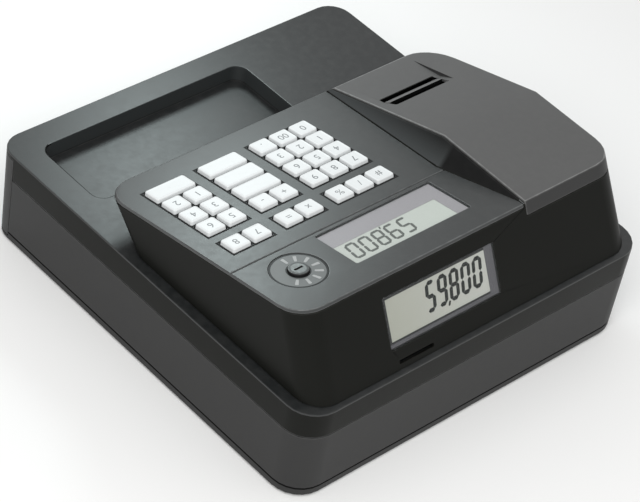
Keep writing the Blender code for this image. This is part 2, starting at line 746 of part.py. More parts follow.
def make_drawer_housing(material):
    housing = case_loft(0, SEAM_HEIGHT + GAP, PARTING_HEIGHT)
    cut(housing, case_loft(CASE_WALL, 0, PARTING_HEIGHT - HOUSING_ROOF))
    cut(housing, prism(rectangle(-REACH, REACH, -REACH, HOUSING_FRONT), 0, REACH))
    in_wall = TOTAL_WIDTH / 2 - CASE_DRAFT - CASE_WALL / 2
    rail_inner = BOX_HALF_WIDTH + GAP
    rail_front = HOUSING_FRONT + OVERRUN
    lower_rail = RUNNER_BOTTOM - GAP - RAIL_THICKNESS
    upper_rail = RUNNER_BOTTOM + RUNNER_THICKNESS + GAP
    for left, right in ((-in_wall, -rail_inner), (rail_inner, in_wall)):
        for bottom in (lower_rail, upper_rail):
            rail = prism(rectangle(left, right, rail_front, RAIL_BACK), bottom, bottom + RAIL_THICKNESS)
            join(housing, rail)
    wall_middle = TOTAL_DEPTH / 2 - CASE_DRAFT - CASE_WALL / 2
    join(housing, prism_y(circle(SPRING_X, SPRING_HEIGHT, PEG_RADIUS), wall_middle - PEG_LENGTH, wall_middle))
    return finish(housing, "drawer_housing", material)


def make_deck(material):
    deck = case_loft(0, PARTING_HEIGHT + GAP, DECK_HEIGHT)
    inside = case_loft(CASE_WALL, PARTING_HEIGHT, DECK_HEIGHT - DECK_THICKNESS)
    cut(inside, prism(rectangle(-REACH, REACH, -REACH, HOUSING_FRONT + CASE_WALL), 0, REACH))
    cut(deck, inside)
    cut(deck, prism(rectangle(-REACH, REACH, -REACH, HOUSING_FRONT), 0, DRAWER_FRONT_TOP + GAP))
    pan = rounded_rectangle(
        TRAY_LEFT - TRAY_WALL, TRAY_RIGHT + TRAY_WALL,
        HOUSING_FRONT + CASE_WALL / 2, TRAY_BACK + TRAY_WALL, TRAY_CORNER + TRAY_WALL)
    join(deck, prism(pan, TRAY_FLOOR - TRAY_WALL, DECK_HEIGHT - DECK_THICKNESS / 2))
    tray = rounded_rectangle(TRAY_LEFT, TRAY_RIGHT, TRAY_FRONT, TRAY_BACK, TRAY_CORNER)
    cut(deck, prism(tray, TRAY_FLOOR, DECK_HEIGHT + OVERRUN))
    half_window = BODY_FOOT_WIDTH / 2 - BODY_WALL - WINDOW_MARGIN
    window = rounded_rectangle(
        -half_window, half_window,
        BODY_FOOT_FRONT + BODY_WALL + WINDOW_MARGIN, BODY_FOOT_BACK - BODY_WALL - WINDOW_MARGIN,
        BODY_CORNER - BODY_WALL)
    cut(deck, prism(window, DECK_HEIGHT - DECK_THICKNESS - OVERRUN, DECK_HEIGHT + OVERRUN))
    return finish(deck, "deck", material)


def make_body_shell(material):
    shell = body_loft(0, DECK_HEIGHT + GAP)
    cut(shell, keyboard_side(0, panel_height(PANEL_THICKNESS + GAP)))
    cut(shell, printer_side(COVER_EDGE, panel_height(COVER_SKIRT + GAP)))
    cut(shell, above_flank())
    # The keyboard's bay reaches under the flank, and leaves a ledge for the panel's side
    keyboard_bay = body_loft(BODY_WALL, DECK_HEIGHT)
    cut(keyboard_bay, printer_side(COVER_EDGE + FLANK_WALL, level(0)), flank_side(PANEL_LEDGE))
    printer_bay = keep(body_loft(BODY_WALL, DECK_HEIGHT), printer_side(COVER_EDGE, level(0)))
    cut(shell, keyboard_bay, printer_bay)
    cut(shell, placed(customer_opening(), BACK_FRAME), placed(customer_rebate(GAP), BACK_FRAME))
    slot = rectangle(-SERVICE_SLOT_RIGHT, -SERVICE_SLOT_LEFT, SERVICE_SLOT_BOTTOM, SERVICE_SLOT_TOP)
    cut(shell, placed(prism(slot, -BODY_WALL - OVERRUN, OVERRUN), BACK_FRAME))
    return finish(shell, "body_shell", material)


# Displays

def operator_rebate(margin):
    outline = rounded_rectangle(
        OPERATOR_WINDOW_LEFT - margin, OPERATOR_WINDOW_RIGHT + margin,
        OPERATOR_WINDOW_FRONT - margin, OPERATOR_WINDOW_BACK + margin, WINDOW_CORNER)
    return prism(outline, -WINDOW_THICKNESS - margin, OVERRUN)


def operator_opening():
    outline = rectangle(
        OPERATOR_WINDOW_LEFT + WINDOW_LEDGE, OPERATOR_WINDOW_RIGHT - WINDOW_LEDGE,
        OPERATOR_WINDOW_FRONT + WINDOW_LEDGE, OPERATOR_WINDOW_BACK - WINDOW_LEDGE)
    return prism(outline, PANEL_UNDERSIDE - OVERRUN, OVERRUN)


def customer_rebate(margin):
    """The customer window's place. The back frame's x runs to the customer's right, so it is mirrored."""
    outline = rounded_rectangle(
        -CUSTOMER_WINDOW_RIGHT - margin, -CUSTOMER_WINDOW_LEFT + margin,
        CUSTOMER_WINDOW_BOTTOM - margin, CUSTOMER_WINDOW_TOP + margin, WINDOW_CORNER)
    return prism(outline, -WINDOW_THICKNESS - margin, OVERRUN)


def customer_opening():
    outline = rectangle(
        WINDOW_LEDGE - CUSTOMER_WINDOW_RIGHT, -CUSTOMER_WINDOW_LEFT - WINDOW_LEDGE,
        CUSTOMER_WINDOW_BOTTOM + WINDOW_LEDGE, CUSTOMER_WINDOW_TOP - WINDOW_LEDGE)
    return prism(outline, -BODY_WALL - OVERRUN, OVERRUN)


def flush(body):
    """Trim a piece to its frame's plane."""
    return cut(body, prism(rectangle(-REACH, REACH, -REACH, REACH), 0, REACH))


def make_displays(window_material, glass_material):
    """Two windows flush with their walls, and the display glasses 0.3 mm under them."""
    glass_top = -WINDOW_THICKNESS - GAP
    ledge = WINDOW_LEDGE + GAP
    finish(placed(flush(operator_rebate(0)), PANEL_FRAME), "operator_window", window_material)
    outline = rectangle(
        OPERATOR_GLASS_LEFT, OPERATOR_WINDOW_RIGHT - ledge,
        OPERATOR_GLASS_FRONT, OPERATOR_WINDOW_BACK - ledge)
    glass = prism(outline, glass_top - GLASS_THICKNESS, glass_top)
    finish(placed(glass, PANEL_FRAME), "operator_display", glass_material)
    finish(placed(flush(customer_rebate(0)), BACK_FRAME), "customer_window", window_material)
    outline = rectangle(
        ledge - CUSTOMER_WINDOW_RIGHT, -CUSTOMER_GLASS_LEFT,
        CUSTOMER_GLASS_BOTTOM, CUSTOMER_WINDOW_TOP - ledge)
    glass = prism(outline, glass_top - GLASS_THICKNESS, glass_top)
    finish(placed(glass, BACK_FRAME), "customer_display", glass_material)


# Keyboard

def make_keyboard_panel(material):
    panel = body_loft(0, DECK_HEIGHT)
    keep(panel, keyboard_side(GAP, panel_height(PANEL_THICKNESS)))
    cut(panel, column(rectangle(-REACH, REACH, -REACH, REACH), panel_height(0), level(REACH)))
    bury = PANEL_UNDERSIDE / 2
    for x, y in boss_places():
        join(panel, placed(prism(circle(x, y, BOSS_RADIUS, steps=12), BOARD_TOP + GAP, bury), PANEL_FRAME))
    tube_radius = SWITCH_PLUG_RADIUS + PIN_CLEARANCE + SWITCH_TUBE_WALL
    tube = prism(circle(SWITCH_X, SWITCH_PLACE, tube_radius), -SWITCH_TUBE_DEPTH, bury)
    join(panel, placed(tube, PANEL_FRAME))
    for name, left, right, front, back in key_places():
        opening = cap_outline(left, right, front, back, -GAP)
        cut(panel, placed(prism(opening, PANEL_UNDERSIDE - OVERRUN, OVERRUN), PANEL_FRAME))
    cut(panel, placed(operator_opening(), PANEL_FRAME), placed(operator_rebate(GAP), PANEL_FRAME))
    dial = prism(circle(SWITCH_X, SWITCH_PLACE, DIAL_RADIUS, steps=2 * CIRCLE_STEPS), -DIAL_DEPTH, OVERRUN)
    hole_radius = SWITCH_PLUG_RADIUS + PIN_CLEARANCE
    hole = prism(circle(SWITCH_X, SWITCH_PLACE, hole_radius), -SWITCH_TUBE_DEPTH - OVERRUN, OVERRUN)
    half_groove = CROSS_GROOVE_WIDTH / 2
    outline = rectangle(-REACH, REACH, CROSS_GROOVE_PLACE - half_groove, CROSS_GROOVE_PLACE + half_groove)
    groove = prism(outline, -CROSS_GROOVE_DEPTH, OVERRUN)
    cut(panel, placed(dial, PANEL_FRAME), placed(hole, PANEL_FRAME), placed(groove, PANEL_FRAME))
    return finish(panel, "keyboard_panel", material)


def make_key(name, left, right, front, back, material, datum):
    """A cap with a lip below the panel that keeps it in. Its origin is on the panel's plane."""
    lip_top = PANEL_UNDERSIDE - GAP
    layers = (
        (-KEY_LIP, LIP_BOTTOM),
        (-KEY_LIP, lip_top),
        (0, lip_top),
        (0, 0),
        (KEY_TAPER, KEY_STAND - KEY_BEVEL),
        (KEY_TAPER + KEY_BEVEL, KEY_STAND),
    )
    rings = []
    for inset, height in layers:
        outline = cap_outline(left, right, front, back, inset)
        rings.append([Vector((x, y, height)) for x, y in outline])
    centre = ((left + right) / 2, (front + back) / 2, 0)
    return finish(loft(rings), name, material, datum, centre)


def make_keys(material, datum):
    for name, left, right, front, back in key_places():
        make_key(name, left, right, front, back, material, datum)


def make_key_sheet(material):
    left, right, front, back = keys_box()
    outline = rectangle(left - SHEET_MARGIN, right + SHEET_MARGIN, front - SHEET_MARGIN, back + SHEET_MARGIN)
    sheet = prism(outline, SHEET_BOTTOM, SHEET_TOP)
    for name, key_left, key_right, key_front, key_back in key_places():
        x = (key_left + key_right) / 2
        y = (key_front + key_back) / 2
        join(sheet, prism(circle(x, y, PAD_RADIUS, steps=8), SHEET_TOP - SHEET_THICKNESS / 2, PAD_TOP))
    for x, y in boss_places():
        cut(sheet, prism(circle(x, y, BOSS_RADIUS + SHEET_MARGIN / 2, steps=12), SHEET_BOTTOM - OVERRUN, 0))
    return finish(placed(sheet, PANEL_FRAME), "key_sheet", material)


def make_main_board(material):
    board = prism(rectangle(*board_box()), BOARD_TOP - BOARD_THICKNESS, BOARD_TOP)
    return finish(placed(board, PANEL_FRAME), "main_board", material)


def make_mode_switch(material, datum):
    plug = prism(circle(0, 0, SWITCH_PLUG_RADIUS), -SWITCH_DEPTH, SWITCH_STAND)
    half_length = SWITCH_SLOT_LENGTH / 2
    half_width = SWITCH_SLOT_WIDTH / 2
    slot = rectangle(-half_length, half_length, -half_width, half_width)
    cut(plug, prism(slot, SWITCH_STAND - SWITCH_SLOT_DEPTH, SWITCH_STAND + OVERRUN))
    finish(plug, "mode_switch", material, datum)
    plug.location = (SWITCH_X, SWITCH_PLACE, 0)
    return plug


# Printer

def ramp_profile():
    """The paper exit's ramp. It starts and ends level with the slope and is deepest at the tear bar."""
    profile = cover_profile(0)
    return [
        (EXIT_RAMP_FRONT, height_on(profile, EXIT_RAMP_FRONT)),
        (EXIT_RAMP_LOW, height_on(profile, EXIT_RAMP_LOW) - EXIT_RAMP_DEPTH),
        (EXIT_BACK, height_on(profile, EXIT_BACK)),
    ]


def make_printer_cover(material):
    edge = COVER_EDGE - GAP
    cover = keep(body_loft(0, DECK_HEIGHT), printer_side(edge, panel_height(COVER_SKIRT)))
    cut(cover, above_cover(0))
    inside = keep(body_loft(COVER_WALL, DECK_HEIGHT), printer_side(edge - COVER_WALL, level(0)))
    cut(inside, above_cover(COVER_WALL + EXIT_RAMP_DEPTH / 2))
    cut(cover, inside)
    ramp = [*ramp_profile(), (EXIT_BACK, REACH), (EXIT_RAMP_FRONT, REACH)]
    cut(cover, prism_x(ramp, EXIT_LEFT - EXIT_RAMP_MARGIN, EXIT_RIGHT + EXIT_RAMP_MARGIN))
    slot = rectangle(EXIT_LEFT, EXIT_RIGHT, EXIT_FRONT, EXIT_BACK)
    cut(cover, prism(slot, COVER_FRONT_HEIGHT, REACH))
    return finish(cover, "printer_cover", material)


def make_tear_bar(material):
    ramp = ramp_profile()
    front_height = height_on(ramp, TEAR_BAR_FRONT)
    back_height = height_on(ramp, TEAR_BAR_BACK)
    profile = [
        (TEAR_BAR_FRONT, front_height - TEAR_BAR_DEPTH),
        (TEAR_BAR_BACK, back_height - TEAR_BAR_DEPTH),
        (TEAR_BAR_BACK, back_height + TEAR_BAR_STAND),
        (TEAR_BAR_FRONT, front_height),
    ]
    return finish(prism_x(profile, EXIT_LEFT + GAP, EXIT_RIGHT - GAP), "tear_bar", material)


def make_printer_frame(material):
    """Two side plates, a floor and a half-round cradle for the paper roll."""
    bottom = PARTING_HEIGHT + GAP
    back = CRADLE_PLACE + CRADLE_RADIUS
    side = [
        (FRAME_FRONT, bottom), (back, bottom), (back, CRADLE_TOP),
        (CRADLE_PLACE - CRADLE_RADIUS, CRADLE_TOP), (FRAME_MIDDLE, FRAME_PIVOT_TOP),
        (ROLLER_PLACE + 2 * ROLLER_RADIUS, FRAME_TOP), (FRAME_FRONT, FRAME_TOP),
    ]
    left_plate = prism_x(side, PRINTER_X - PAPER_HALF - FRAME_WALL, PRINTER_X - PAPER_HALF)
    right_plate = prism_x(side, PRINTER_X + PAPER_HALF, PRINTER_X + PAPER_HALF + FRAME_WALL)
    span = (PRINTER_X - PAPER_HALF - FRAME_WALL / 2, PRINTER_X + PAPER_HALF + FRAME_WALL / 2)
    floor = [(FRAME_FRONT, bottom), (CRADLE_PLACE, bottom), (CRADLE_PLACE, bottom + FRAME_WALL),
             (FRAME_FRONT, bottom + FRAME_WALL)]
    centre_height = bottom + FRAME_WALL / 2 + CRADLE_RADIUS
    angles = [
        -math.pi / 2 + CRADLE_HALF_ANGLE * (2 * step / CRADLE_STEPS - 1) for step in range(CRADLE_STEPS + 1)]
    inner = [(CRADLE_PLACE + CRADLE_RADIUS * math.cos(angle), centre_height + CRADLE_RADIUS * math.sin(angle))
             for angle in angles]
    outer_radius = CRADLE_RADIUS + FRAME_WALL
    outer = [(CRADLE_PLACE + outer_radius * math.cos(angle), centre_height + outer_radius * math.sin(angle))
             for angle in reversed(angles)]
    cradle = prism_x(inner + outer, *span)
    cut(cradle, prism_x(rectangle(-REACH, REACH, 0, bottom), -REACH, REACH))
    frame = join(prism_x(floor, *span), cradle, left_plate, right_plate)
    shelf = [(HEAD_FRONT, HEAD_BOTTOM - GAP - HEAD_SHELF), (ROLLER_PLACE, HEAD_BOTTOM - GAP - HEAD_SHELF),
             (ROLLER_PLACE, HEAD_BOTTOM - GAP), (HEAD_FRONT, HEAD_BOTTOM - GAP)]
    join(frame, prism_x(shelf, *span))
    pivot_hole = circle(ARM_PIVOT_PLACE, ARM_PIVOT_HEIGHT, ARM_PIN_RADIUS + PIN_CLEARANCE)
    cut(frame, prism_x(pivot_hole, -REACH, COVER_EDGE))
    return finish(frame, "printer_frame", material)


def make_print_head(material):
    """A flat head that faces the roller, with cooling fins towards the front."""
    back = ROLLER_PLACE - ROLLER_RADIUS - GAP
    half_width = PAPER_HALF - GAP
    head = prism(
        rectangle(PRINTER_X - half_width, PRINTER_X + half_width, HEAD_FRONT, back), HEAD_BOTTOM, HEAD_TOP)
    pitch = 2 * half_width / (2 * FIN_COUNT + 1)
    for index in range(FIN_COUNT):
        left = PRINTER_X - half_width + (2 * index + 1) * pitch
        groove = rectangle(left, left + pitch, HEAD_FRONT - OVERRUN, HEAD_FRONT + FIN_DEPTH)
        cut(head, prism(groove, HEAD_BOTTOM - OVERRUN, HEAD_TOP + OVERRUN))
    return finish(head, "print_head", material)


def cheek_profile():
    """A bar with round ends from the arm's pivot to the roller's shaft."""
    rise = ROLLER_HEIGHT - ARM_PIVOT_HEIGHT
    run = ROLLER_PLACE - ARM_PIVOT_PLACE
    heading = math.atan2(rise, run)
    half_steps = CIRCLE_STEPS // 2
    profile = []
    ends = (
        (ROLLER_PLACE, ROLLER_HEIGHT, heading - math.pi / 2),
        (ARM_PIVOT_PLACE, ARM_PIVOT_HEIGHT, heading + math.pi / 2),
    )
    for y, z, start in ends:
        for step in range(half_steps + 1):
            angle = start + math.pi * step / half_steps
            profile.append((y + ARM_CHEEK_RADIUS * math.cos(angle), z + ARM_CHEEK_RADIUS * math.sin(angle)))
    return profile


def make_platen_arm(material):
    outer = PAPER_HALF - GAP
    inner = outer - ARM_CHEEK
    pin_reach = PAPER_HALF + FRAME_WALL
    arm = prism_x(cheek_profile(), PRINTER_X - outer, PRINTER_X - inner)
    other_cheek = prism_x(cheek_profile(), PRINTER_X + inner, PRINTER_X + outer)
    middle = (ARM_PIVOT_PLACE + ROLLER_PLACE) / 2 + ARM_BAR_DEPTH / 2
    height = (ARM_PIVOT_HEIGHT + ROLLER_HEIGHT) / 2
    bar = [
        (middle - ARM_BAR_DEPTH / 2, height - ARM_BAR_HEIGHT / 2),
        (middle + ARM_BAR_DEPTH / 2, height - ARM_BAR_HEIGHT / 2),
        (middle + ARM_BAR_DEPTH / 2, height + ARM_BAR_HEIGHT / 2),
        (middle - ARM_BAR_DEPTH / 2, height + ARM_BAR_HEIGHT / 2),
    ]
    bury = ARM_CHEEK / 2
    join(arm, prism_x(bar, PRINTER_X - inner - bury, PRINTER_X + inner + bury), other_cheek)
    pin = circle(ARM_PIVOT_PLACE, ARM_PIVOT_HEIGHT, ARM_PIN_RADIUS)
    join(arm, prism_x(pin, PRINTER_X - pin_reach, PRINTER_X - inner - bury))
    join(arm, prism_x(pin, PRINTER_X + inner + bury, PRINTER_X + pin_reach))
    shaft_hole = circle(ROLLER_PLACE, ROLLER_HEIGHT, ROLLER_SHAFT_RADIUS + PIN_CLEARANCE)
    cut(arm, prism_x(shaft_hole, -REACH, COVER_EDGE))
    return finish(arm, "platen_arm", material, origin=(PRINTER_X, ARM_PIVOT_PLACE, ARM_PIVOT_HEIGHT))


def make_platen_roller(material):
    shaft_half = PAPER_HALF - GAP
    rubber_half = shaft_half - ARM_CHEEK - GAP
    layers = (
        (ROLLER_SHAFT_RADIUS, -shaft_half),
        (ROLLER_SHAFT_RADIUS, -rubber_half),
        (ROLLER_RADIUS, -rubber_half),
        (ROLLER_RADIUS, rubber_half),
        (ROLLER_SHAFT_RADIUS, rubber_half),
        (ROLLER_SHAFT_RADIUS, shaft_half),
    )
    rings = []
    for radius, x in layers:
        rings.append([Vector((PRINTER_X + x, y, z)) for y, z in circle(ROLLER_PLACE, ROLLER_HEIGHT, radius)])
    return finish(loft(rings), "platen_roller", material, origin=(PRINTER_X, ROLLER_PLACE, ROLLER_HEIGHT))


# Drawer

def make_drawer_front(material, drawer):
    bottom = FLOOR_TOP + DRAWER_FRONT_CLEARANCE
    front = case_loft(0, bottom, DRAWER_FRONT_TOP)
    behind = prism(rectangle(-REACH, REACH, DRAWER_FRONT_BACK, REACH), 0, REACH)
    cut(front, behind)
    cut(front, case_loft(DRAWER_FRONT_WALL, bottom + DRAWER_FRONT_WALL, DRAWER_FRONT_TOP - DRAWER_FRONT_WALL))
    in_wall = CASE_DRAFT + DRAWER_FRONT_WALL / 2 - TOTAL_DEPTH / 2
    for x in (-DRAWER_BOSS_X, DRAWER_BOSS_X):
        for z in DRAWER_BOSS_HEIGHTS:
            join(front, prism_y(circle(x, z, DRAWER_BOSS_RADIUS), in_wall, DRAWER_FRONT_BACK))
    hole_radius = LOCK_RADIUS + PIN_CLEARANCE
    join(front, prism_y(circle(0, LOCK_HEIGHT, hole_radius + LOCK_TUBE_WALL), in_wall, LOCK_TUBE_BACK))
    cut(front, prism_y(circle(0, LOCK_HEIGHT, hole_radius), -REACH, REACH))
    return finish(front, "drawer_front", material, drawer)


def make_drawer_box(material, drawer):
    front = HOUSING_FRONT
    box = prism(rectangle(-BOX_HALF_WIDTH, BOX_HALF_WIDTH, front, BOX_BACK), BOX_BOTTOM, BOX_TOP)
    inner = BOX_HALF_WIDTH - BOX_WALL
    inside = rectangle(-inner, inner, front + BOX_WALL, BOX_BACK - BOX_WALL)
    cut(box, prism(inside, BOX_BOTTOM + BOX_WALL, REACH))
    in_wall = BOX_HALF_WIDTH - BOX_WALL / 2
    outer = BOX_HALF_WIDTH + RUNNER_WIDTH
    for left, right in ((-outer, -in_wall), (in_wall, outer)):
        runner = rectangle(left, right, front + OVERRUN, BOX_BACK - OVERRUN)
        join(box, prism(runner, RUNNER_BOTTOM, RUNNER_BOTTOM + RUNNER_THICKNESS))
    hook = [
        (-HOOK_HALF_WIDTH, BOX_BACK - BOX_WALL / 2), (HOOK_HALF_WIDTH, BOX_BACK - BOX_WALL / 2),
        (HOOK_HALF_WIDTH, HOOK_HEAD_FRONT), (HOOK_HEAD_REACH, HOOK_HEAD_FRONT),
        (HOOK_HEAD_REACH, HOOK_HEAD_BACK), (-HOOK_HALF_WIDTH, HOOK_HEAD_BACK),
    ]
    join(box, prism(hook, HOOK_BOTTOM, HOOK_TOP))
    return finish(box, "drawer_box", material, drawer)


def till_outline():
    margin = BOX_WALL + TILL_CLEARANCE
    half_width = BOX_HALF_WIDTH - margin
    return -half_width, half_width, HOUSING_FRONT + margin, BOX_BACK - margin


def spread(start, end, count):
    """Split a span into equal compartments with the till's wall between and around them."""
    size = (end - start - (count + 1) * TILL_WALL) / count
    return [(start + TILL_WALL + index * (size + TILL_WALL), start + (index + 1) * (size + TILL_WALL))
            for index in range(count)]


def note_spans():
    left, right, front, back = till_outline()
    return spread(left, right, NOTE_COLUMN_COUNT)


def make_till_tray(material, drawer):
    left, right, front, back = till_outline()
    tray = prism(rectangle(left, right, front, back), TILL_BOTTOM, TILL_TOP)
    floor = TILL_BOTTOM + TILL_FLOOR
    notes_front = back - NOTE_LENGTH - TILL_WALL
    for note_left, note_right in note_spans():
        outline = rectangle(note_left, note_right, notes_front, back - TILL_WALL)
        cut(tray, prism(outline, floor, TILL_TOP + OVERRUN))
    for coin_left, coin_right in spread(left, right, COIN_COLUMN_COUNT):
        for coin_front, coin_back in spread(front, notes_front, COIN_ROW_COUNT):
            outline = rectangle(coin_left, coin_right, coin_front, coin_back)
            cut(tray, prism(outline, floor, TILL_TOP + OVERRUN))
    seat = TILL_WALL - ROD_SEAT
    notch = rectangle(left + seat, right - seat, ROD_PLACE - ROD_RADIUS - GAP, ROD_PLACE + ROD_RADIUS + GAP)
    cut(tray, prism(notch, ROD_HEIGHT - ROD_RADIUS - GAP, TILL_TOP + OVERRUN))
    return finish(tray, "till_tray", material, drawer)


def make_clip_rod(material, drawer):
    left, right, front, back = till_outline()
    end = TILL_WALL - ROD_SEAT + GAP
    rod = prism_x(circle(ROD_PLACE, ROD_HEIGHT, ROD_RADIUS, steps=12), left + end, right - end)
    return finish(rod, "clip_rod", material, drawer)


def clip_droop():
    """Angle at which a clip's tip lies just above the till's floor."""
    room = ROD_HEIGHT - TILL_BOTTOM - TILL_FLOOR - GAP - CLIP_THICKNESS / 2
    return math.asin(room / CLIP_LENGTH)


def make_note_clip(name, x, material, drawer):
    """A hub on the rod with a flat arm that droops to the notes."""
    hub_radius = ROD_HOLE_RADIUS + CLIP_HUB_WALL
    left = x - CLIP_WIDTH / 2
    right = x + CLIP_WIDTH / 2
    clip = prism_x(circle(ROD_PLACE, ROD_HEIGHT, hub_radius), left, right)
    droop = clip_droop()
    along = Vector((-math.cos(droop), -math.sin(droop)))
    across = Vector((-along.y, along.x)) * (CLIP_THICKNESS / 2)
    start = Vector((ROD_PLACE, ROD_HEIGHT)) + along * (ROD_HOLE_RADIUS + CLIP_HUB_WALL / 2)
    end = Vector((ROD_PLACE, ROD_HEIGHT)) + along * CLIP_LENGTH
    join(clip, prism_x([start - across, start + across, end + across, end - across], left, right))
    cut(clip, prism_x(circle(ROD_PLACE, ROD_HEIGHT, ROD_HOLE_RADIUS), -REACH, REACH))
    return finish(clip, name, material, drawer, (x, ROD_PLACE, ROD_HEIGHT))


def make_note_clips(material, drawer):
    for index, (left, right) in enumerate(note_spans()):
        make_note_clip(f"note_clip_{index + 1}", (left + right) / 2, material, drawer)


def make_drawer_lock(material, drawer):
    """The lock's plug with its key slot in front and its cam behind."""
    face = GAP + CASE_DRAFT - TOTAL_DEPTH / 2
    cam_back = DRAWER_FRONT_BACK - GAP
    cam_front = cam_back - LOCK_CAM_THICKNESS
    plug = prism_y(circle(0, LOCK_HEIGHT, LOCK_RADIUS), face, cam_back)
    half_cam = LOCK_CAM_WIDTH / 2
    cam = rectangle(-half_cam, half_cam, LOCK_HEIGHT - LOCK_CAM_LENGTH, LOCK_HEIGHT)
    join(plug, prism_y(cam, cam_front, cam_back - GAP))
    half_slot = LOCK_SLOT_WIDTH / 2
    half_length = LOCK_SLOT_LENGTH / 2
    slot = rectangle(-half_slot, half_slot, LOCK_HEIGHT - half_length, LOCK_HEIGHT + half_length)
    cut(plug, prism_y(slot, face - OVERRUN, face + LOCK_SLOT_DEPTH))
    return finish(plug, "drawer_lock", material, drawer, (0, face, LOCK_HEIGHT))


# Latch and spring behind the drawer

def make_latch_lever(material):
    """A lever on its post, shown released. Turned back by the release angle, its nose holds the hook."""
    top = LEVER_BOTTOM + LEVER_THICKNESS
    lever = prism(circle(0, 0, LEVER_HUB_RADIUS), LEVER_BOTTOM, top)
    nose_back = LEVER_NOSE_LENGTH - LEVER_LENGTH
    outline = [
        (-LEVER_NOSE_REACH, -LEVER_LENGTH), (LEVER_HALF_WIDTH, -LEVER_LENGTH), (LEVER_HALF_WIDTH, 0),
        (-LEVER_HALF_WIDTH, 0), (-LEVER_HALF_WIDTH, nose_back), (-LEVER_NOSE_REACH, nose_back),
    ]
    join(lever, prism(outline, LEVER_BOTTOM, top))
    tail = rectangle(0, LEVER_TAIL, -LEVER_HALF_WIDTH, LEVER_HALF_WIDTH)
    join(lever, prism(tail, LEVER_BOTTOM, top))
    hole = circle(0, 0, POST_PIN_RADIUS + PIN_CLEARANCE)
    cut(lever, prism(hole, 0, REACH))
    finish(lever, "latch_lever", material)
    lever.location = (LEVER_X, LEVER_PLACE, 0)
    lever.rotation_euler.z = LEVER_RELEASE
    return lever


def make_solenoid(material):
    bottom = FLOOR_TOP + GAP
    body = rectangle(SOLENOID_LEFT, SOLENOID_RIGHT, SOLENOID_FRONT, SOLENOID_BACK)
    solenoid = prism(body, bottom, bottom + SOLENOID_HEIGHT)
    middle = (SOLENOID_FRONT + SOLENOID_BACK) / 2
    height = LEVER_BOTTOM + LEVER_THICKNESS / 2
    profile = circle(middle, height, PLUNGER_RADIUS, steps=12)
    join(solenoid, prism_x(profile, SOLENOID_LEFT - PLUNGER_LENGTH, SOLENOID_LEFT + PLUNGER_LENGTH))
    return finish(solenoid, "latch_solenoid", material)


def make_drawer_spring(material):
    """A coil spring round its peg, pressed between the drawer and the housing's back."""
    back = TOTAL_DEPTH / 2 - CASE_DRAFT - CASE_WALL - GAP - SPRING_WIRE_RADIUS
    count = SPRING_TURNS * SPRING_POINTS_PER_TURN
    rings = []
    pitch = (back - SPRING_FRONT) / SPRING_TURNS
    lean = math.atan2(pitch, math.tau * SPRING_RADIUS)
    for index in range(count + 1):
        turn = math.tau * index / SPRING_POINTS_PER_TURN
        outward = Vector((math.cos(turn), 0, math.sin(turn)))
        around = Vector((-math.sin(turn), 0, math.cos(turn)))
        forward = around * math.cos(lean) + Vector((0, math.sin(lean), 0))
        across = outward.cross(forward)
        place = SPRING_FRONT + pitch * index / SPRING_POINTS_PER_TURN
        centre = Vector((SPRING_X, place, SPRING_HEIGHT)) + outward * SPRING_RADIUS
        ring = []
        for side in range(SPRING_WIRE_SIDES):
            angle = math.tau * side / SPRING_WIRE_SIDES
            offset = outward * math.cos(angle) + across * math.sin(angle)
            ring.append(centre + offset * SPRING_WIRE_RADIUS)
        rings.append(ring)
    return finish(loft(rings), "drawer_spring", material)


def make_empty(name, frame):
    empty = bpy.data.objects.new(name, None)
    bpy.context.scene.collection.objects.link(empty)
    empty.matrix_world = frame
    return empty


def clear_scene():
    for item in list(bpy.data.objects):
        bpy.data.objects.remove(item)


def build_register():
    case = make_material("case_grey", (0.045, 0.046, 0.048), 0.5)
    deck = make_material("deck_grey", (0.055, 0.056, 0.058), 0.5)
    black = make_material("body_black", (0.012, 0.012, 0.013), 0.4)
    panel = make_material("panel_grey", (0.07, 0.071, 0.073), 0.5)
    cover = make_material("cover_grey", (0.085, 0.086, 0.088), 0.5)
    caps = make_material("key_white", (0.75, 0.75, 0.75), 0.45)
    window = make_material("window_clear", (0.8, 0.82, 0.82), 0.1)
    display = make_material("display_grey", (0.55, 0.58, 0.54), 0.3)
    rubber = make_material("rubber_grey", (0.2, 0.2, 0.2), 0.8)
    board = make_material("board_green", (0.02, 0.12, 0.05), 0.5)
    till = make_material("till_black", (0.02, 0.02, 0.02), 0.5)
    steel = make_material("steel", (0.5, 0.5, 0.5), 0.35, 1.0)
    roller = make_material("roller_black", (0.02, 0.02, 0.02), 0.8)

    panel_datum = make_empty("panel_datum", PANEL_FRAME)
    drawer = make_empty("drawer", Matrix.Identity(4))

    make_base_plate(case)
    make_drawer_housing(case)
    make_deck(deck)
    make_body_shell(black)
    make_keyboard_panel(panel)
    make_displays(window, display)
    make_mode_switch(steel, panel_datum)
    make_keys(caps, panel_datum)
    make_key_sheet(rubber)
    make_main_board(board)

    make_printer_cover(cover)
    make_tear_bar(steel)
    make_printer_frame(black)
    make_print_head(steel)
    make_platen_arm(steel)
    make_platen_roller(roller)

    make_drawer_front(case, drawer)
    make_drawer_box(steel, drawer)
    make_till_tray(till, drawer)
    make_clip_rod(steel, drawer)
    make_note_clips(till, drawer)
    make_drawer_lock(steel, drawer)
    make_latch_lever(steel)
    make_solenoid(steel)
    make_drawer_spring(steel)


clear_scene()
build_register()
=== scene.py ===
"""Looks of a compact cash register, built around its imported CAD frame.

Metres, +Z up. -Y is the operator's side, where the drawer opens, and +X is the operator's right.
"""

import json
import math

import bmesh
import bpy
from mathutils import Matrix, Vector

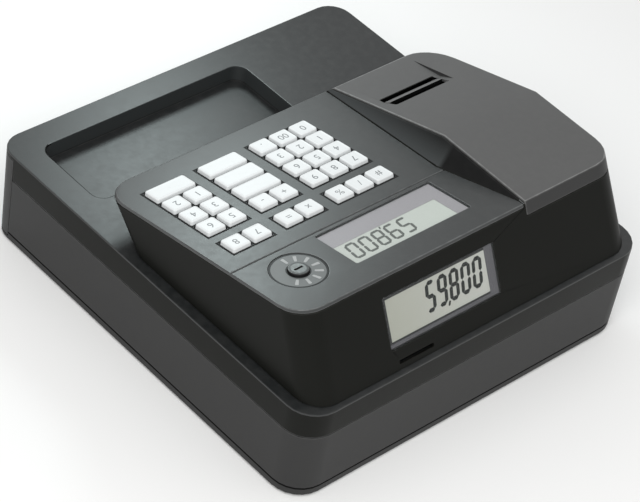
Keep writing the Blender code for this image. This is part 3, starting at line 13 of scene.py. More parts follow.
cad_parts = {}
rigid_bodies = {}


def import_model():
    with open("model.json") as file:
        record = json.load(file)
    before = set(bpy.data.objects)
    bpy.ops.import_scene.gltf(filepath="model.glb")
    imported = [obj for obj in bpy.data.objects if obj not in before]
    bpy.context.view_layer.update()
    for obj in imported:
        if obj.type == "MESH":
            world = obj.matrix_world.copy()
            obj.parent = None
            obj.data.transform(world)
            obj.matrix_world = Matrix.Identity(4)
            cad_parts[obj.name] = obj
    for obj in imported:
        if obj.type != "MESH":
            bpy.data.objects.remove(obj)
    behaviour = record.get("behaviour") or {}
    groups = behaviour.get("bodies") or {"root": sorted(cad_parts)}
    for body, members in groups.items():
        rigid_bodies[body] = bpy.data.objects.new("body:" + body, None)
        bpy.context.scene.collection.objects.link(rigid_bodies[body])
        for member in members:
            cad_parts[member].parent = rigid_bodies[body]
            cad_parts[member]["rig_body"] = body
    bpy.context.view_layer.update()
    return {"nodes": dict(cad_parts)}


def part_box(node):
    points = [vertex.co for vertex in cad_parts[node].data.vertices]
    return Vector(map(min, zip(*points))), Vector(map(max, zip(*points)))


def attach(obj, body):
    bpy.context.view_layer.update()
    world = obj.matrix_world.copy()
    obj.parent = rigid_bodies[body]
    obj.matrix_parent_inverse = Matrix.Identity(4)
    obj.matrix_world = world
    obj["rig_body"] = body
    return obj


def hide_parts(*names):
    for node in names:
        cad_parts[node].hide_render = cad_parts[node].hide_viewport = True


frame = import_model()
nodes = frame["nodes"]


# Camera
# The photograph looks down on the back right corner from over a metre away, through a long lens.
# The camera's axes and place come from a fit to the register's edges.

camera_data = bpy.data.cameras.new("camera")
camera_data.sensor_width = 36.0
camera_data.lens = 150.3
camera_data.clip_end = 20.0
camera = bpy.data.objects.new("camera", camera_data)
bpy.context.scene.collection.objects.link(camera)
camera_right = Vector((-0.736155, 0.660958, 0.145642))
camera_up = Vector((-0.3613, -0.565734, 0.74122))
camera_back = Vector((0.57231, 0.493032, 0.655272))
camera_place = Vector((1.11839, 0.97117, 1.31021))
camera_turn = Matrix((camera_right, camera_up, camera_back)).transposed().to_4x4()
camera.matrix_world = Matrix.Translation(camera_place) @ camera_turn
bpy.context.scene.camera = camera
bpy.context.scene.view_settings.view_transform = "Standard"


# Floor and light
# A plain white floor under the register. A small lamp, low over the far side, gives the gradients
# on the flat tops. A large soft one behind the camera and the white surroundings fill in the walls.

floor_material = bpy.data.materials.new("floor_white")
floor_material.use_nodes = True
floor_shader = floor_material.node_tree.nodes["Principled BSDF"]
floor_shader.inputs["Base Color"].default_value = (0.92, 0.92, 0.92, 1.0)
floor_shader.inputs["Roughness"].default_value = 0.9
bpy.ops.object.select_all(action="DESELECT")
bpy.ops.mesh.primitive_plane_add(size=12, location=(0, 0, 0))
floor = bpy.context.object
floor.name = "floor"
floor.data.materials.append(floor_material)

world = bpy.data.worlds.new("studio")
bpy.context.scene.world = world
world.use_nodes = True
world.node_tree.nodes["Background"].inputs["Color"].default_value = (1.0, 1.0, 1.0, 1.0)
world.node_tree.nodes["Background"].inputs["Strength"].default_value = 0.65


def soft_light(name, place, target, size, power, colour):
    """A round lamp that faces a target and doesn't show itself."""
    light = bpy.data.lights.new(name, "AREA")
    light.shape = "DISK"
    light.size = size
    light.energy = power
    light.color = colour
    lamp = bpy.data.objects.new(name, light)
    bpy.context.scene.collection.objects.link(lamp)
    lamp.location = place
    lamp.rotation_euler = (Vector(target) - Vector(place)).to_track_quat("-Z", "Y").to_euler()
    lamp.visible_camera = False


soft_light(
    "key_light", place=(-0.15, -0.34, 0.38), target=(0.11, -0.10, 0.08),
    size=0.12, power=0.52, colour=(0.86, 1.0, 1.0))
soft_light(
    "fill_light", place=(1.00, 0.90, 1.60), target=(0.0, 0.0, 0.05),
    size=1.50, power=24.0, colour=(1.0, 1.0, 0.98))


# Moulded plastic
# Every shell is moulded ABS with a fine spark-eroded grain. One node group puts out its colour,
# roughness and normal, with a little mottling, outer edges lightened for wear and a painted
# highlight, inner corners darkened for soil and painted shade, and dust on what faces up.

# Near black for inner corners, standing for soil and painted shade together.
soil_and_shade_colour = (0.004, 0.004, 0.004, 1.0)
dust_colour = (0.45, 0.44, 0.42, 1.0)
sharp_angle = math.radians(30)
bend_angle = math.radians(5)
flat_angle = math.radians(0.6)
weld_distance = 0.00002
most_corners = 5


def socket_group(name, inputs, outputs):
    """A node group with named inputs and outputs, and its two end nodes."""
    group = bpy.data.node_groups.new(name, "ShaderNodeTree")
    for label, kind, value in inputs:
        socket = group.interface.new_socket(name=label, in_out="INPUT", socket_type=kind)
        socket.default_value = value
    for label, kind in outputs:
        group.interface.new_socket(name=label, in_out="OUTPUT", socket_type=kind)
    return group, group.nodes.new("NodeGroupInput"), group.nodes.new("NodeGroupOutput")


def add_node(tree, kind, settings=None, **sockets):
    """A node with its settings, whose sockets are given values or linked to other outputs."""
    node = tree.nodes.new(kind)
    for label, value in (settings or {}).items():
        setattr(node, label, value)
    for label, value in sockets.items():
        socket = node.inputs[label.replace("_", " ") if label[0] != "i" else int(label[1:])]
        if isinstance(value, bpy.types.NodeSocket):
            tree.links.new(value, socket)
        else:
            socket.default_value = value
    return node


def arithmetic(tree, operation, first, second):
    """The output of one sum, difference or product."""
    return add_node(
        tree, "ShaderNodeMath", {"operation": operation}, i0=first, i1=second).outputs[0]


def blend_colours(tree, share, first, second):
    """The first colour turning into the second with its share."""
    return add_node(
        tree, "ShaderNodeMix", {"data_type": "RGBA"}, i0=share, i6=first, i7=second).outputs[2]


def spread_range(tree, value, low, high, new_low, new_high):
    """A value taken from one range to another, and held at its ends."""
    return add_node(
        tree, "ShaderNodeMapRange", Value=value, From_Min=low, From_Max=high,
        To_Min=new_low, To_Max=new_high).outputs[0]


def noise(tree, where, scale, detail=3.0, roughness=0.6):
    """The height of a noise at a place."""
    return add_node(
        tree, "ShaderNodeTexNoise", Vector=where, Scale=scale, Detail=detail,
        Roughness=roughness).outputs[0]


surface_outputs = [
    ("Colour", "NodeSocketColor"), ("Roughness", "NodeSocketFloat"), ("Normal", "NodeSocketVector")]


def make_moulded_group():
    """The surface of moulded ABS."""
    group, given, result = socket_group(
        "moulded_surface",
        [("Colour", "NodeSocketColor", (0.05, 0.05, 0.05, 1.0)),
         ("Edge Colour", "NodeSocketColor", (0.1, 0.1, 0.1, 1.0)),
         ("Roughness", "NodeSocketFloat", 0.45),
         ("Grain Scale", "NodeSocketFloat", 1400.0),
         ("Grain Depth", "NodeSocketFloat", 0.00003),
         ("Mottle", "NodeSocketFloat", 0.06),
         ("Edge Wear", "NodeSocketFloat", 0.6),
         ("Dust", "NodeSocketFloat", 0.03)],
        surface_outputs)
    where = add_node(group, "ShaderNodeTexCoord").outputs["Object"]
    geometry = add_node(group, "ShaderNodeNewGeometry")
    grain = noise(group, where, given.outputs["Grain Scale"])
    patches = noise(group, where, scale=14.0, detail=4.0, roughness=0.55)
    specks = noise(group, where, scale=160.0, detail=5.0, roughness=0.7)
    shift = arithmetic(group, "SUBTRACT", patches, 0.5)
    shift = arithmetic(group, "MULTIPLY", shift, given.outputs["Mottle"])
    shift = arithmetic(group, "ADD", shift, 1.0)
    mottled = add_node(
        group, "ShaderNodeVectorMath", {"operation": "SCALE"}, i0=given.outputs["Colour"], i3=shift)
    # Outer edges turn lighter for wear with a painted highlight; inner corners darken for soil with
    # painted shade.
    edges = add_node(group, "ShaderNodeAttribute", {"attribute_name": "rub_and_shade_mark"}).outputs["Fac"]
    outer_edges = spread_range(group, edges, 0.0, 1.0, 0.0, 1.0)
    rub_and_highlight = arithmetic(group, "MULTIPLY", outer_edges, spread_range(group, specks, 0.35, 0.6, 0.45, 1.0))
    rub_and_highlight = arithmetic(group, "MULTIPLY", rub_and_highlight, given.outputs["Edge Wear"])
    colour = blend_colours(group, rub_and_highlight, mottled.outputs[0], given.outputs["Edge Colour"])
    soil_and_shade = spread_range(group, edges, -1.0, 0.0, 0.7, 0.0)
    colour = blend_colours(group, soil_and_shade, colour, soil_and_shade_colour)
    up = add_node(group, "ShaderNodeSeparateXYZ", i0=geometry.outputs["Normal"]).outputs[2]
    settled = spread_range(group, up, 0.55, 1.0, 0.0, 1.0)
    grains = spread_range(group, specks, 0.42, 0.78, 0.0, 1.0)
    settled = arithmetic(group, "MULTIPLY", settled, grains)
    settled = arithmetic(group, "MULTIPLY", settled, given.outputs["Dust"])
    colour = blend_colours(group, settled, colour, dust_colour)
    rough = spread_range(group, specks, 0.3, 0.7, -0.012, 0.012)
    rough = arithmetic(group, "ADD", rough, given.outputs["Roughness"])
    rough = arithmetic(group, "SUBTRACT", rough, arithmetic(group, "MULTIPLY", rub_and_highlight, 0.1))
    rough = arithmetic(group, "ADD", rough, settled)
    bump = add_node(
        group, "ShaderNodeBump", Strength=0.6, Distance=given.outputs["Grain Depth"], Height=grain)
    group.links.new(colour, result.inputs["Colour"])
    group.links.new(rough, result.inputs["Roughness"])
    group.links.new(bump.outputs[0], result.inputs["Normal"])
    return group


moulded_surface = make_moulded_group()


def grouped_material(name, group, specular, **values):
    """A material whose colour, roughness and normal come from a group with its own values."""
    material = bpy.data.materials.new(name)
    material.use_nodes = True
    tree = material.node_tree
    shader = tree.nodes["Principled BSDF"]
    shader.inputs["Specular IOR Level"].default_value = specular
    surface = tree.nodes.new("ShaderNodeGroup")
    surface.node_tree = group
    for label, value in values.items():
        surface.inputs[label.replace("_", " ")].default_value = value
    tree.links.new(surface.outputs["Colour"], shader.inputs["Base Color"])
    tree.links.new(surface.outputs["Roughness"], shader.inputs["Roughness"])
    tree.links.new(surface.outputs["Normal"], shader.inputs["Normal"])
    return material


def moulded(name, colour, rub_highlight_colour, roughness, specular, **values):
    """A plastic with its own colour, edge wear with painted highlight and shade, gloss and grain.
    """
    return grouped_material(
        name, moulded_surface, specular, Colour=(*colour, 1.0), Edge_Colour=(*rub_highlight_colour, 1.0),
        Roughness=roughness, **values)


def edit_piece(piece):
    """Go into edit mode on one piece, with all of it selected."""
    bpy.ops.object.select_all(action="DESELECT")
    bpy.context.view_layer.objects.active = piece
    piece.select_set(True)
    bpy.ops.object.mode_set(mode="EDIT")
    bpy.ops.mesh.select_all(action="SELECT")


def choose(piece, kind, test):
    """In edit mode, select the vertices, edges or faces that pass a test, and nothing else."""
    bpy.ops.mesh.select_all(action="DESELECT")
    bpy.ops.mesh.select_mode(type=kind)
    mesh = bmesh.from_edit_mesh(piece.data)
    for item in {"VERT": mesh.verts, "EDGE": mesh.edges, "FACE": mesh.faces}[kind]:
        if test(item):
            item.select_set(True)
    bmesh.update_edit_mesh(piece.data)


def is_sharp(edge):
    """True where two faces meet at an edge that a mould would round."""
    return edge.is_manifold and edge.calc_face_angle() > sharp_angle


def rub_and_shade_side(face):
    """+1: outer edge, worn and painted highlight. -1: inner corner, soiled and painted shade."""
    bends = [edge for edge in face.edges
             if edge.is_manifold and edge.calc_face_angle() > bend_angle]
    total = sum(1 if edge.is_convex else -1 for edge in bends)
    return float((total > 0) - (total < 0))


def smooth(piece, angle=40):
    """Shade a piece so that its curves are smooth and its flats stay flat."""
    bpy.ops.object.select_all(action="DESELECT")
    bpy.context.view_layer.objects.active = piece
    piece.select_set(True)
    bpy.ops.object.shade_smooth_by_angle(angle=math.radians(angle))
    weighted = piece.modifiers.new("flat_faces", "WEIGHTED_NORMAL")
    weighted.keep_sharp = True
    bpy.ops.object.modifier_apply(modifier=weighted.name)


def round_edges(piece, width, where=None):
    """Round sharp edges, and mark their faces for wear and soil with painted highlight and shade.
    """
    edit_piece(piece)
    choose(piece, "EDGE", lambda edge: is_sharp(edge) and (where is None or where(edge)))
    bpy.ops.mesh.bevel(
        offset=width, segments=2, affect="EDGES", clamp_overlap=False, miter_outer="ARC")
    mesh = bmesh.from_edit_mesh(piece.data)
    rub_and_shade_mark = mesh.faces.layers.float.new("rub_and_shade_mark")
    for face in mesh.faces:
        narrow = face.calc_area() < width * face.calc_perimeter()
        face[rub_and_shade_mark] = rub_and_shade_side(face) if face.select and narrow else 0.0
    bmesh.update_edit_mesh(piece.data)
    bpy.ops.object.mode_set(mode="OBJECT")
    smooth(piece)


def dress(piece, material, body, stands_for=()):
    """Give a finished piece its material, the body it moves with and the nodes it stands for."""
    piece.data.materials.clear()
    piece.data.materials.append(material)
    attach(piece, body)
    if stands_for:
        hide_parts(*stands_for)
    return piece


def moulded_shell(node, name, material, radius, where=None, pierced=False):
    """A shell on its CAD solid's own faces, merged, with moulded radii on its edges.

    Faces round many openings are split first in a pierced piece, so that the radii can't fold them.
    """
    piece = bpy.data.objects.new(name, nodes[node].data.copy())
    bpy.context.scene.collection.objects.link(piece)
    edit_piece(piece)
    bpy.ops.mesh.remove_doubles(threshold=weld_distance)
    bpy.ops.mesh.dissolve_limited(angle_limit=flat_angle)
    if pierced:
        choose(piece, "FACE", lambda face: len(face.verts) > most_corners)
        bpy.ops.mesh.quads_convert_to_tris(quad_method="BEAUTY", ngon_method="BEAUTY")
    bpy.ops.mesh.customdata_custom_splitnormals_clear()
    bpy.ops.object.mode_set(mode="OBJECT")
    round_edges(piece, radius, where=where)
    return dress(piece, material, nodes[node]["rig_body"], [node])


def coat_node(node, material):
    """Give a CAD node that keeps its own shape a better material."""
    for held in nodes[node].material_slots:
        held.material = material


# Base plate
# The lowest moulding, in dark grey ABS, with a shallow rim and four round feet. It screws to the
# housing from below, and its top band is painted black as the shadow in the seam above it. The
# feet are capped in black rubber.

case_grey = moulded(
    "case_grey_abs", (0.028, 0.028, 0.028), (0.07, 0.07, 0.07),
    roughness=0.52, specular=0.25, Grain_Depth=0.00004)
foot_rubber = moulded(
    "foot_rubber", (0.018, 0.018, 0.018), (0.03, 0.03, 0.03), roughness=0.75, specular=0.3,
    Grain_Scale=700.0, Dust=0.1)
# Near black that stands for shadow: in the seams, along the tray's near rim and behind the tear
# bar.
painted_shadow_black = moulded(
    "painted_shadow_black", (0.004, 0.004, 0.004), (0.006, 0.006, 0.006),
    roughness=0.8, specular=0.1, Dust=0.0)
base_tray = moulded_shell("base_plate", "base_tray", case_grey, radius=0.0007)
base_tray.data.materials.append(foot_rubber)
base_tray.data.materials.append(painted_shadow_black)
foot_height = 0.0019
seam_shadow_depth = 0.0012
seam_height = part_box("drawer_housing")[0][2]
for face in base_tray.data.polygons:
    if face.center.z < foot_height:
        face.material_index = 1
    elif face.center.z > seam_height - seam_shadow_depth:
        face.material_index = 2


# Drawer housing
# The lower case of dark grey ABS, moulded in one. It carries the drawer's rails and closes the
# sides and the back up to the parting line. Its foot is painted black as the shadow of the seam.

lower_case = moulded_shell(
    "drawer_housing", "lower_case", case_grey, radius=0.0006, pierced=True)
lower_case.data.materials.append(painted_shadow_black)
for face in lower_case.data.polygons:
    if face.center.z < seam_height + seam_shadow_depth:
        face.material_index = 1


# Deck
# The upper part of the case, a grey moulding with a coin tray sunk into it beside the keyboard. Its
# outer side is painted shade in the body's near black, the tray's walls have a lighter grey that
# paints the light on them, and the line where the tray's near walls turn down is painted shadow.

deck_grey = moulded(
    "deck_grey_abs", (0.0085, 0.0100, 0.0105), (0.03, 0.03, 0.03),
    roughness=0.41, specular=0.74, Edge_Wear=0.1)
body_black = moulded(
    "body_black_abs", (0.0075, 0.0078, 0.0066), (0.045, 0.045, 0.042),
    roughness=0.42, specular=0.10, Grain_Depth=0.00002, Mottle=0.16, Edge_Wear=0.25)
tray_wall_painted_light = moulded(
    "tray_wall_painted_light_abs", (0.030, 0.034, 0.035), (0.09, 0.10, 0.10), roughness=0.41, specular=0.56)
upper_deck = moulded_shell("deck", "upper_deck", deck_grey, radius=0.0010)
for material in (body_black, painted_shadow_black, tray_wall_painted_light):
    upper_deck.data.materials.append(material)
deck_low, deck_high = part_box("deck")
rim_reach = 0.006
rim_steepness = 0.35
tray_rim = 0.0011
tray_depth = 0.020
tray_steepness = 0.9
facing_away = -0.1
# Rim sides: painted shade in near black. Near rim of the tray: painted shadow. Tray walls: painted
# light.
for face in upper_deck.data.polygons:
    from_rim = min(
        face.center.x - deck_low[0], deck_high[0] - face.center.x,
        face.center.y - deck_low[1], deck_high[1] - face.center.y)
    if from_rim < rim_reach:
        if abs(face.normal.z) < rim_steepness:
            face.material_index = 1
    elif (face.center.z > deck_high[2] - tray_rim
            and min(face.normal.x, face.normal.y) < facing_away):
        face.material_index = 2
    elif face.center.z > deck_high[2] - tray_depth and abs(face.normal.z) < tray_steepness:
        face.material_index = 3


# Body shell
# Near black ABS with a slight gloss, moulded in one and screwed to the deck. It leans out in front
# and slopes back behind. Its top rim has the panel's grey. The flank beside the printer cover has
# painted shade, from grey at its foot to black under the cover and behind the cross groove.

facing = 0.8


def face_frame(node, towards, level):
    """A frame on a node's largest face that looks one way: x level, y up the face, z out of it."""
    faces = [face for face in nodes[node].data.polygons if face.normal.dot(towards) > facing]
    face = max(faces, key=lambda face: face.area)
    out = face.normal.normalized()
    up = out.cross(level).normalized()
    return Matrix.Translation(face.center) @ Matrix((level, up, out)).transposed().to_4x4()


def local_box(names, surface):
    """Lowest and highest corner of some CAD nodes together, in a frame of their own."""
    back = surface.inverted()
    places = [back @ vertex.co for name in names for vertex in nodes[name].data.vertices]
    return (Vector([min(place[axis] for place in places) for axis in range(3)]),
            Vector([max(place[axis] for place in places) for axis in range(3)]))


def reach_along(tree, direction):
    """How far a point lies along one direction of the frame."""
    place = add_node(tree, "ShaderNodeTexCoord").outputs["Object"]
    return add_node(
        tree, "ShaderNodeVectorMath", {"operation": "DOT_PRODUCT"},
        i0=place, i1=direction).outputs["Value"]


upper_body = moulded_shell(
    "body_shell", "upper_body", body_black, radius=0.0006, pierced=True)
panel_grey = moulded(
    "panel_grey_abs", (0.017, 0.019, 0.0195), (0.15, 0.16, 0.16), roughness=0.40, specular=0.84)
flank_painted_shade = moulded(
    "flank_painted_shade_abs", (0.03, 0.03, 0.03), (0.05, 0.05, 0.05),
    roughness=0.5, specular=0.2, Edge_Wear=0.2)
# Painted shade on the flank: grey at the foot, black higher up and behind the groove.
flank_unshaded_grey = (0.050, 0.055, 0.056, 1.0)
flank_shade_black = (0.002, 0.002, 0.002, 1.0)
flank_rise = 0.016
groove_reach = 0.010
groove_fade = 0.004
panel = face_frame("operator_window", Vector((0, 0, 1)), Vector((1, 0, 0)))
panel_out = panel.col[2].to_3d()
panel_up = panel.col[1].to_3d()
flank_foot = panel.translation.dot(panel_out)
window_low, window_high = local_box(["operator_window"], panel)
groove_place = (panel @ window_low).dot(panel_up) - groove_reach
flank_tree = flank_painted_shade.node_tree
over_foot = spread_range(
    flank_tree, reach_along(flank_tree, panel_out), flank_foot, flank_foot + flank_rise, 0.0, 1.0)
past_groove = spread_range(
    flank_tree, reach_along(flank_tree, panel_up), groove_place, groove_place + groove_fade,
    0.0, 1.0)
shade_fade = blend_colours(flank_tree, over_foot, flank_unshaded_grey, flank_shade_black)
shade_fade = blend_colours(flank_tree, past_groove, shade_fade, flank_shade_black)
flank_tree.links.new(shade_fade, flank_tree.nodes["Group"].inputs["Colour"])
upper_body.data.materials.append(panel_grey)
upper_body.data.materials.append(flank_painted_shade)
rim_depth = 0.0008
rim_level = 0.85
flank_turn = 0.3
for face in upper_body.data.polygons:
    height = (panel.inverted() @ face.center).z
    if face.normal.z > rim_level and abs(height) < rim_depth:
        face.material_index = 1
    elif face.normal.x > flank_turn and height > rim_depth:
        face.material_index = 2


# Keyboard panel
# A grey ABS panel dropped into the body's top, with openings for the keys and the window, a dished
# place for the mode switch and a cross groove behind the keys. Only its outer edges are worn and
# painted with a highlight.

key_names = sorted(name for name in nodes if name.startswith("key_") and name != "key_sheet")
keys_low, keys_high = local_box(key_names, panel)


def outside_keys(edge):
    """True for an edge of the panel that isn't round a key."""
    for vertex in edge.verts:
        place = panel.inverted() @ vertex.co
        if keys_low.x < place.x < keys_high.x and keys_low.y < place.y < keys_high.y:
            return False
    return True


moulded_shell(
    "keyboard_panel", "key_panel", panel_grey, radius=0.0005, where=outside_keys,
    pierced=True)


# Printer cover
# A wedge of grey ABS that lifts off the printer, with a shallow ramp down to the paper exit. Its
# back is painted darker as shade. The tear bar is a lighter strip let into the exit, with a painted
# shadow in black on its far side.

cover_grey = moulded(
    "cover_grey_abs", (0.092, 0.092, 0.092), (0.26, 0.26, 0.26), roughness=0.46, specular=0.35)
# A darker copy of the cover's grey, for the painted shade on its back.
cover_back_shade = moulded(
    "cover_back_painted_shade_abs", (0.030, 0.030, 0.030), (0.09, 0.09, 0.09), roughness=0.46, specular=0.30)
bar_grey = moulded(
    "tear_bar_grey", (0.13, 0.13, 0.13), (0.30, 0.30, 0.30),
    roughness=0.38, specular=0.5, Grain_Depth=0.00001)
cover_back_turn = 0.6
bar_back_turn = 0.5
paper_cover = moulded_shell(
    "printer_cover", "paper_cover", cover_grey, radius=0.0008, pierced=True)
tear_strip = moulded_shell("tear_bar", "tear_strip", bar_grey, radius=0.0003)
for piece, material, turn in (
        (paper_cover, cover_back_shade, cover_back_turn), (tear_strip, painted_shadow_black, bar_back_turn)):
    piece.data.materials.append(material)
    for face in piece.data.polygons:
        if face.normal.y > turn:
            face.material_index = 1


# Printer
# What the cover hides: a black frame with the paper cradle, the print head on it, and the arm that
# holds the rubber platen roller down on the paper. The metal is zinc plated or brushed steel, in
# one node group with drawn streaks and a little tarnish.

def make_metal_group():
    """The surface of drawn or plated metal."""
    group, given, result = socket_group(
        "metal_surface",
        [("Colour", "NodeSocketColor", (0.6, 0.6, 0.6, 1.0)),
         ("Tarnish Colour", "NodeSocketColor", (0.42, 0.40, 0.37, 1.0)),
         ("Roughness", "NodeSocketFloat", 0.3),
         ("Streaks", "NodeSocketVector", (60.0, 1200.0, 1200.0)),
         ("Streak Depth", "NodeSocketFloat", 0.00002),
         ("Tarnish", "NodeSocketFloat", 0.4)],
        surface_outputs)
    where = add_node(group, "ShaderNodeTexCoord").outputs["Object"]
    stretched = add_node(
        group, "ShaderNodeVectorMath", {"operation": "MULTIPLY"},
        i0=where, i1=given.outputs["Streaks"]).outputs[0]
    streaks = noise(group, stretched, scale=1.0, detail=4.0, roughness=0.65)
    patches = noise(group, where, scale=45.0, detail=5.0, roughness=0.65)
    spots = spread_range(group, patches, 0.45, 0.7, 0.0, 1.0)
    colour = blend_colours(
        group, arithmetic(group, "MULTIPLY", spots, given.outputs["Tarnish"]),
        given.outputs["Colour"], given.outputs["Tarnish Colour"])
    rough = spread_range(group, streaks, 0.3, 0.7, -0.07, 0.09)
    rough = arithmetic(group, "ADD", rough, given.outputs["Roughness"])
    rough = arithmetic(group, "ADD", rough, arithmetic(group, "MULTIPLY", spots, 0.08))
    bump = add_node(
        group, "ShaderNodeBump", Strength=0.5, Distance=given.outputs["Streak Depth"],
        Height=streaks)
    group.links.new(colour, result.inputs["Colour"])
    group.links.new(rough, result.inputs["Roughness"])
    group.links.new(bump.outputs[0], result.inputs["Normal"])
    return group


metal_surface = make_metal_group()


def metal(name, colour, roughness, **values):
    """A metal with its own colour, gloss, drawn streaks and tarnish."""
    material = grouped_material(
        name, metal_surface, 0.5, Colour=(*colour, 1.0), Roughness=roughness, **values)
    material.node_tree.nodes["Principled BSDF"].inputs["Metallic"].default_value = 1.0
    return material


frame_black = moulded(
    "frame_black_abs", (0.016, 0.016, 0.016), (0.05, 0.05, 0.05),
    roughness=0.50, specular=0.35, Dust=0.08)
sheet_steel = metal(
    "sheet_steel", (0.60, 0.60, 0.59), roughness=0.34, Streaks=(90.0, 1100.0, 1100.0))
head_steel = metal(
    "head_steel", (0.50, 0.50, 0.52), roughness=0.36, Streaks=(1400.0, 80.0, 80.0),
    Streak_Depth=0.000004, Tarnish=0.2)
roller_rubber = moulded(
    "roller_rubber", (0.020, 0.020, 0.021), (0.03, 0.03, 0.03), roughness=0.62, specular=0.35,
    Grain_Scale=900.0, Dust=0.05)
moulded_shell("printer_frame", "printer_bed", frame_black, radius=0.0003)
moulded_shell("platen_arm", "roller_arm", sheet_steel, radius=0.0003, pierced=True)
moulded_shell("print_head", "thermal_head", head_steel, radius=0.0003)
coat_node("platen_roller", roller_rubber)


# Displays
# Two liquid crystal glasses behind clear windows. A pale grey film is laid on each glass, and the
# seven-segment digits of dark ink lie a hair above it. The operator's digits have a lighter ink,
# which paints the light falling on its upturned glass.

def add_block(name, low, high):
    """A block between two corners, with its origin at the world's."""
    bpy.ops.object.select_all(action="DESELECT")
    bpy.ops.mesh.primitive_cube_add(
        size=1, location=[(a + b) / 2 for a, b in zip(low, high)],
        scale=[b - a for a, b in zip(low, high)])
    piece = bpy.context.object
    bpy.ops.object.transform_apply(location=True, rotation=True, scale=True)
    piece.name = name
    return piece


def copy_piece(master, name, place):
    """A copy with a mesh of its own, moved by a matrix."""
    piece = bpy.data.objects.new(name, master.data.copy())
    bpy.context.scene.collection.objects.link(piece)
    piece.data.transform(place)
    return piece


def join_pieces(pieces, name):
    """Several pieces made into one."""
    bpy.ops.object.select_all(action="DESELECT")
    for piece in pieces:
        piece.select_set(True)
    bpy.context.view_layer.objects.active = pieces[0]
    bpy.ops.object.join()
    pieces[0].name = name
    return pieces[0]


def discard(*pieces):
    """Remove pieces that were only masters or cutters."""
    for piece in pieces:
        bpy.data.objects.remove(piece)


cut_tolerance = 0.00001


def add_plate(name, low, high, openings, bottom, thickness, place):
    """A thin plate with rectangular openings, cut from a plane and given its thickness."""
    bpy.ops.object.select_all(action="DESELECT")
    bpy.ops.mesh.primitive_plane_add(
        size=1, location=((low[0] + high[0]) / 2, (low[1] + high[1]) / 2, bottom))
    piece = bpy.context.object
    piece.name = name
    piece.scale = (high[0] - low[0], high[1] - low[1], 1)
    bpy.ops.object.transform_apply(location=True, rotation=True, scale=True)
    edit_piece(piece)
    for axis in (0, 1):
        for value in sorted({round(corner[axis], 6) for opening in openings for corner in opening}):
            bpy.ops.mesh.select_all(action="SELECT")
            point = [0, 0, bottom]
            point[axis] = value
            bpy.ops.mesh.bisect(
                plane_co=point, plane_no=(1 - axis, axis, 0), threshold=cut_tolerance)
    choose(piece, "FACE", lambda face: any(
        all(start[axis] < face.calc_center_median()[axis] < end[axis] for axis in (0, 1))
        for start, end in openings))
    bpy.ops.mesh.delete(type="FACE")
    bpy.ops.mesh.select_all(action="SELECT")
    bpy.ops.mesh.extrude_region_move(TRANSFORM_OT_translate={"value": (0, 0, thickness)})
    bpy.ops.mesh.select_all(action="SELECT")
    bpy.ops.mesh.normals_make_consistent(inside=False)
    bpy.ops.object.mode_set(mode="OBJECT")
    piece.data.transform(place)
    return piece


def rise(edge):
    """How much higher one end of an edge is than the other."""
    return abs(edge.verts[0].co.z - edge.verts[1].co.z)


ink_thickness = 0.00006
segment_gap = 0.15
segment_point = 0.45
lit_segments = {"0": "abcdef", "5": "acdfg", "8": "abcdefg", "9": "abcdfg"}
comma_drop = 0.55
comma_turn = math.radians(70)
comma_shape = (0.4, 0.6, 1, 1)


def make_segment(length, stroke):
    """One segment of a digit: a flat bar with pointed ends."""
    piece = add_block(
        "segment", (-length / 2, -stroke / 2, 0), (length / 2, stroke / 2, ink_thickness))
    edit_piece(piece)
    choose(piece, "EDGE", lambda edge: rise(edge) > ink_thickness / 2)
    bpy.ops.mesh.bevel(offset=segment_point * stroke, segments=1, affect="EDGES")
    bpy.ops.object.mode_set(mode="OBJECT")
    return piece


def make_reading(name, reading, width, height, stroke, pitch, slant, place):
    """A line of seven-segment digits that ends at the place's origin and leans to the right."""
    level = make_segment(width - (1 + segment_gap) * stroke, stroke)
    upright = make_segment((height - stroke) / 2 - segment_gap * stroke, stroke)
    side = (width - stroke) / 2
    top = (height - stroke) / 2
    quarter = Matrix.Rotation(math.radians(90), 4, "Z")
    spots = {
        "a": (level, Matrix.Translation((0, top, 0))),
        "b": (upright, Matrix.Translation((side, top / 2, 0)) @ quarter),
        "c": (upright, Matrix.Translation((side, -top / 2, 0)) @ quarter),
        "d": (level, Matrix.Translation((0, -top, 0))),
        "e": (upright, Matrix.Translation((-side, -top / 2, 0)) @ quarter),
        "f": (upright, Matrix.Translation((-side, top / 2, 0)) @ quarter),
        "g": (level, Matrix.Identity(4))}
    lean = Matrix.Identity(4)
    lean[0][1] = math.tan(math.radians(slant))
    parts = []
    x = -width / 2
    for mark in reversed(reading):
        if mark == ",":
            spot = Matrix.Translation((x + pitch / 2, -top - comma_drop * stroke, 0))
            shape = Matrix.Rotation(comma_turn, 4, "Z") @ Matrix.Diagonal(comma_shape)
            parts.append(copy_piece(upright, "comma", place @ lean @ spot @ shape))
            continue
        digit = place @ lean @ Matrix.Translation((x, 0, 0))
        for segment in lit_segments[mark]:
            master, spot = spots[segment]
            parts.append(copy_piece(master, "segment", digit @ spot))
        x -= pitch
    discard(level, upright)
    return join_pieces(parts, name)


shade_start = -0.02
shade_end = 0.085


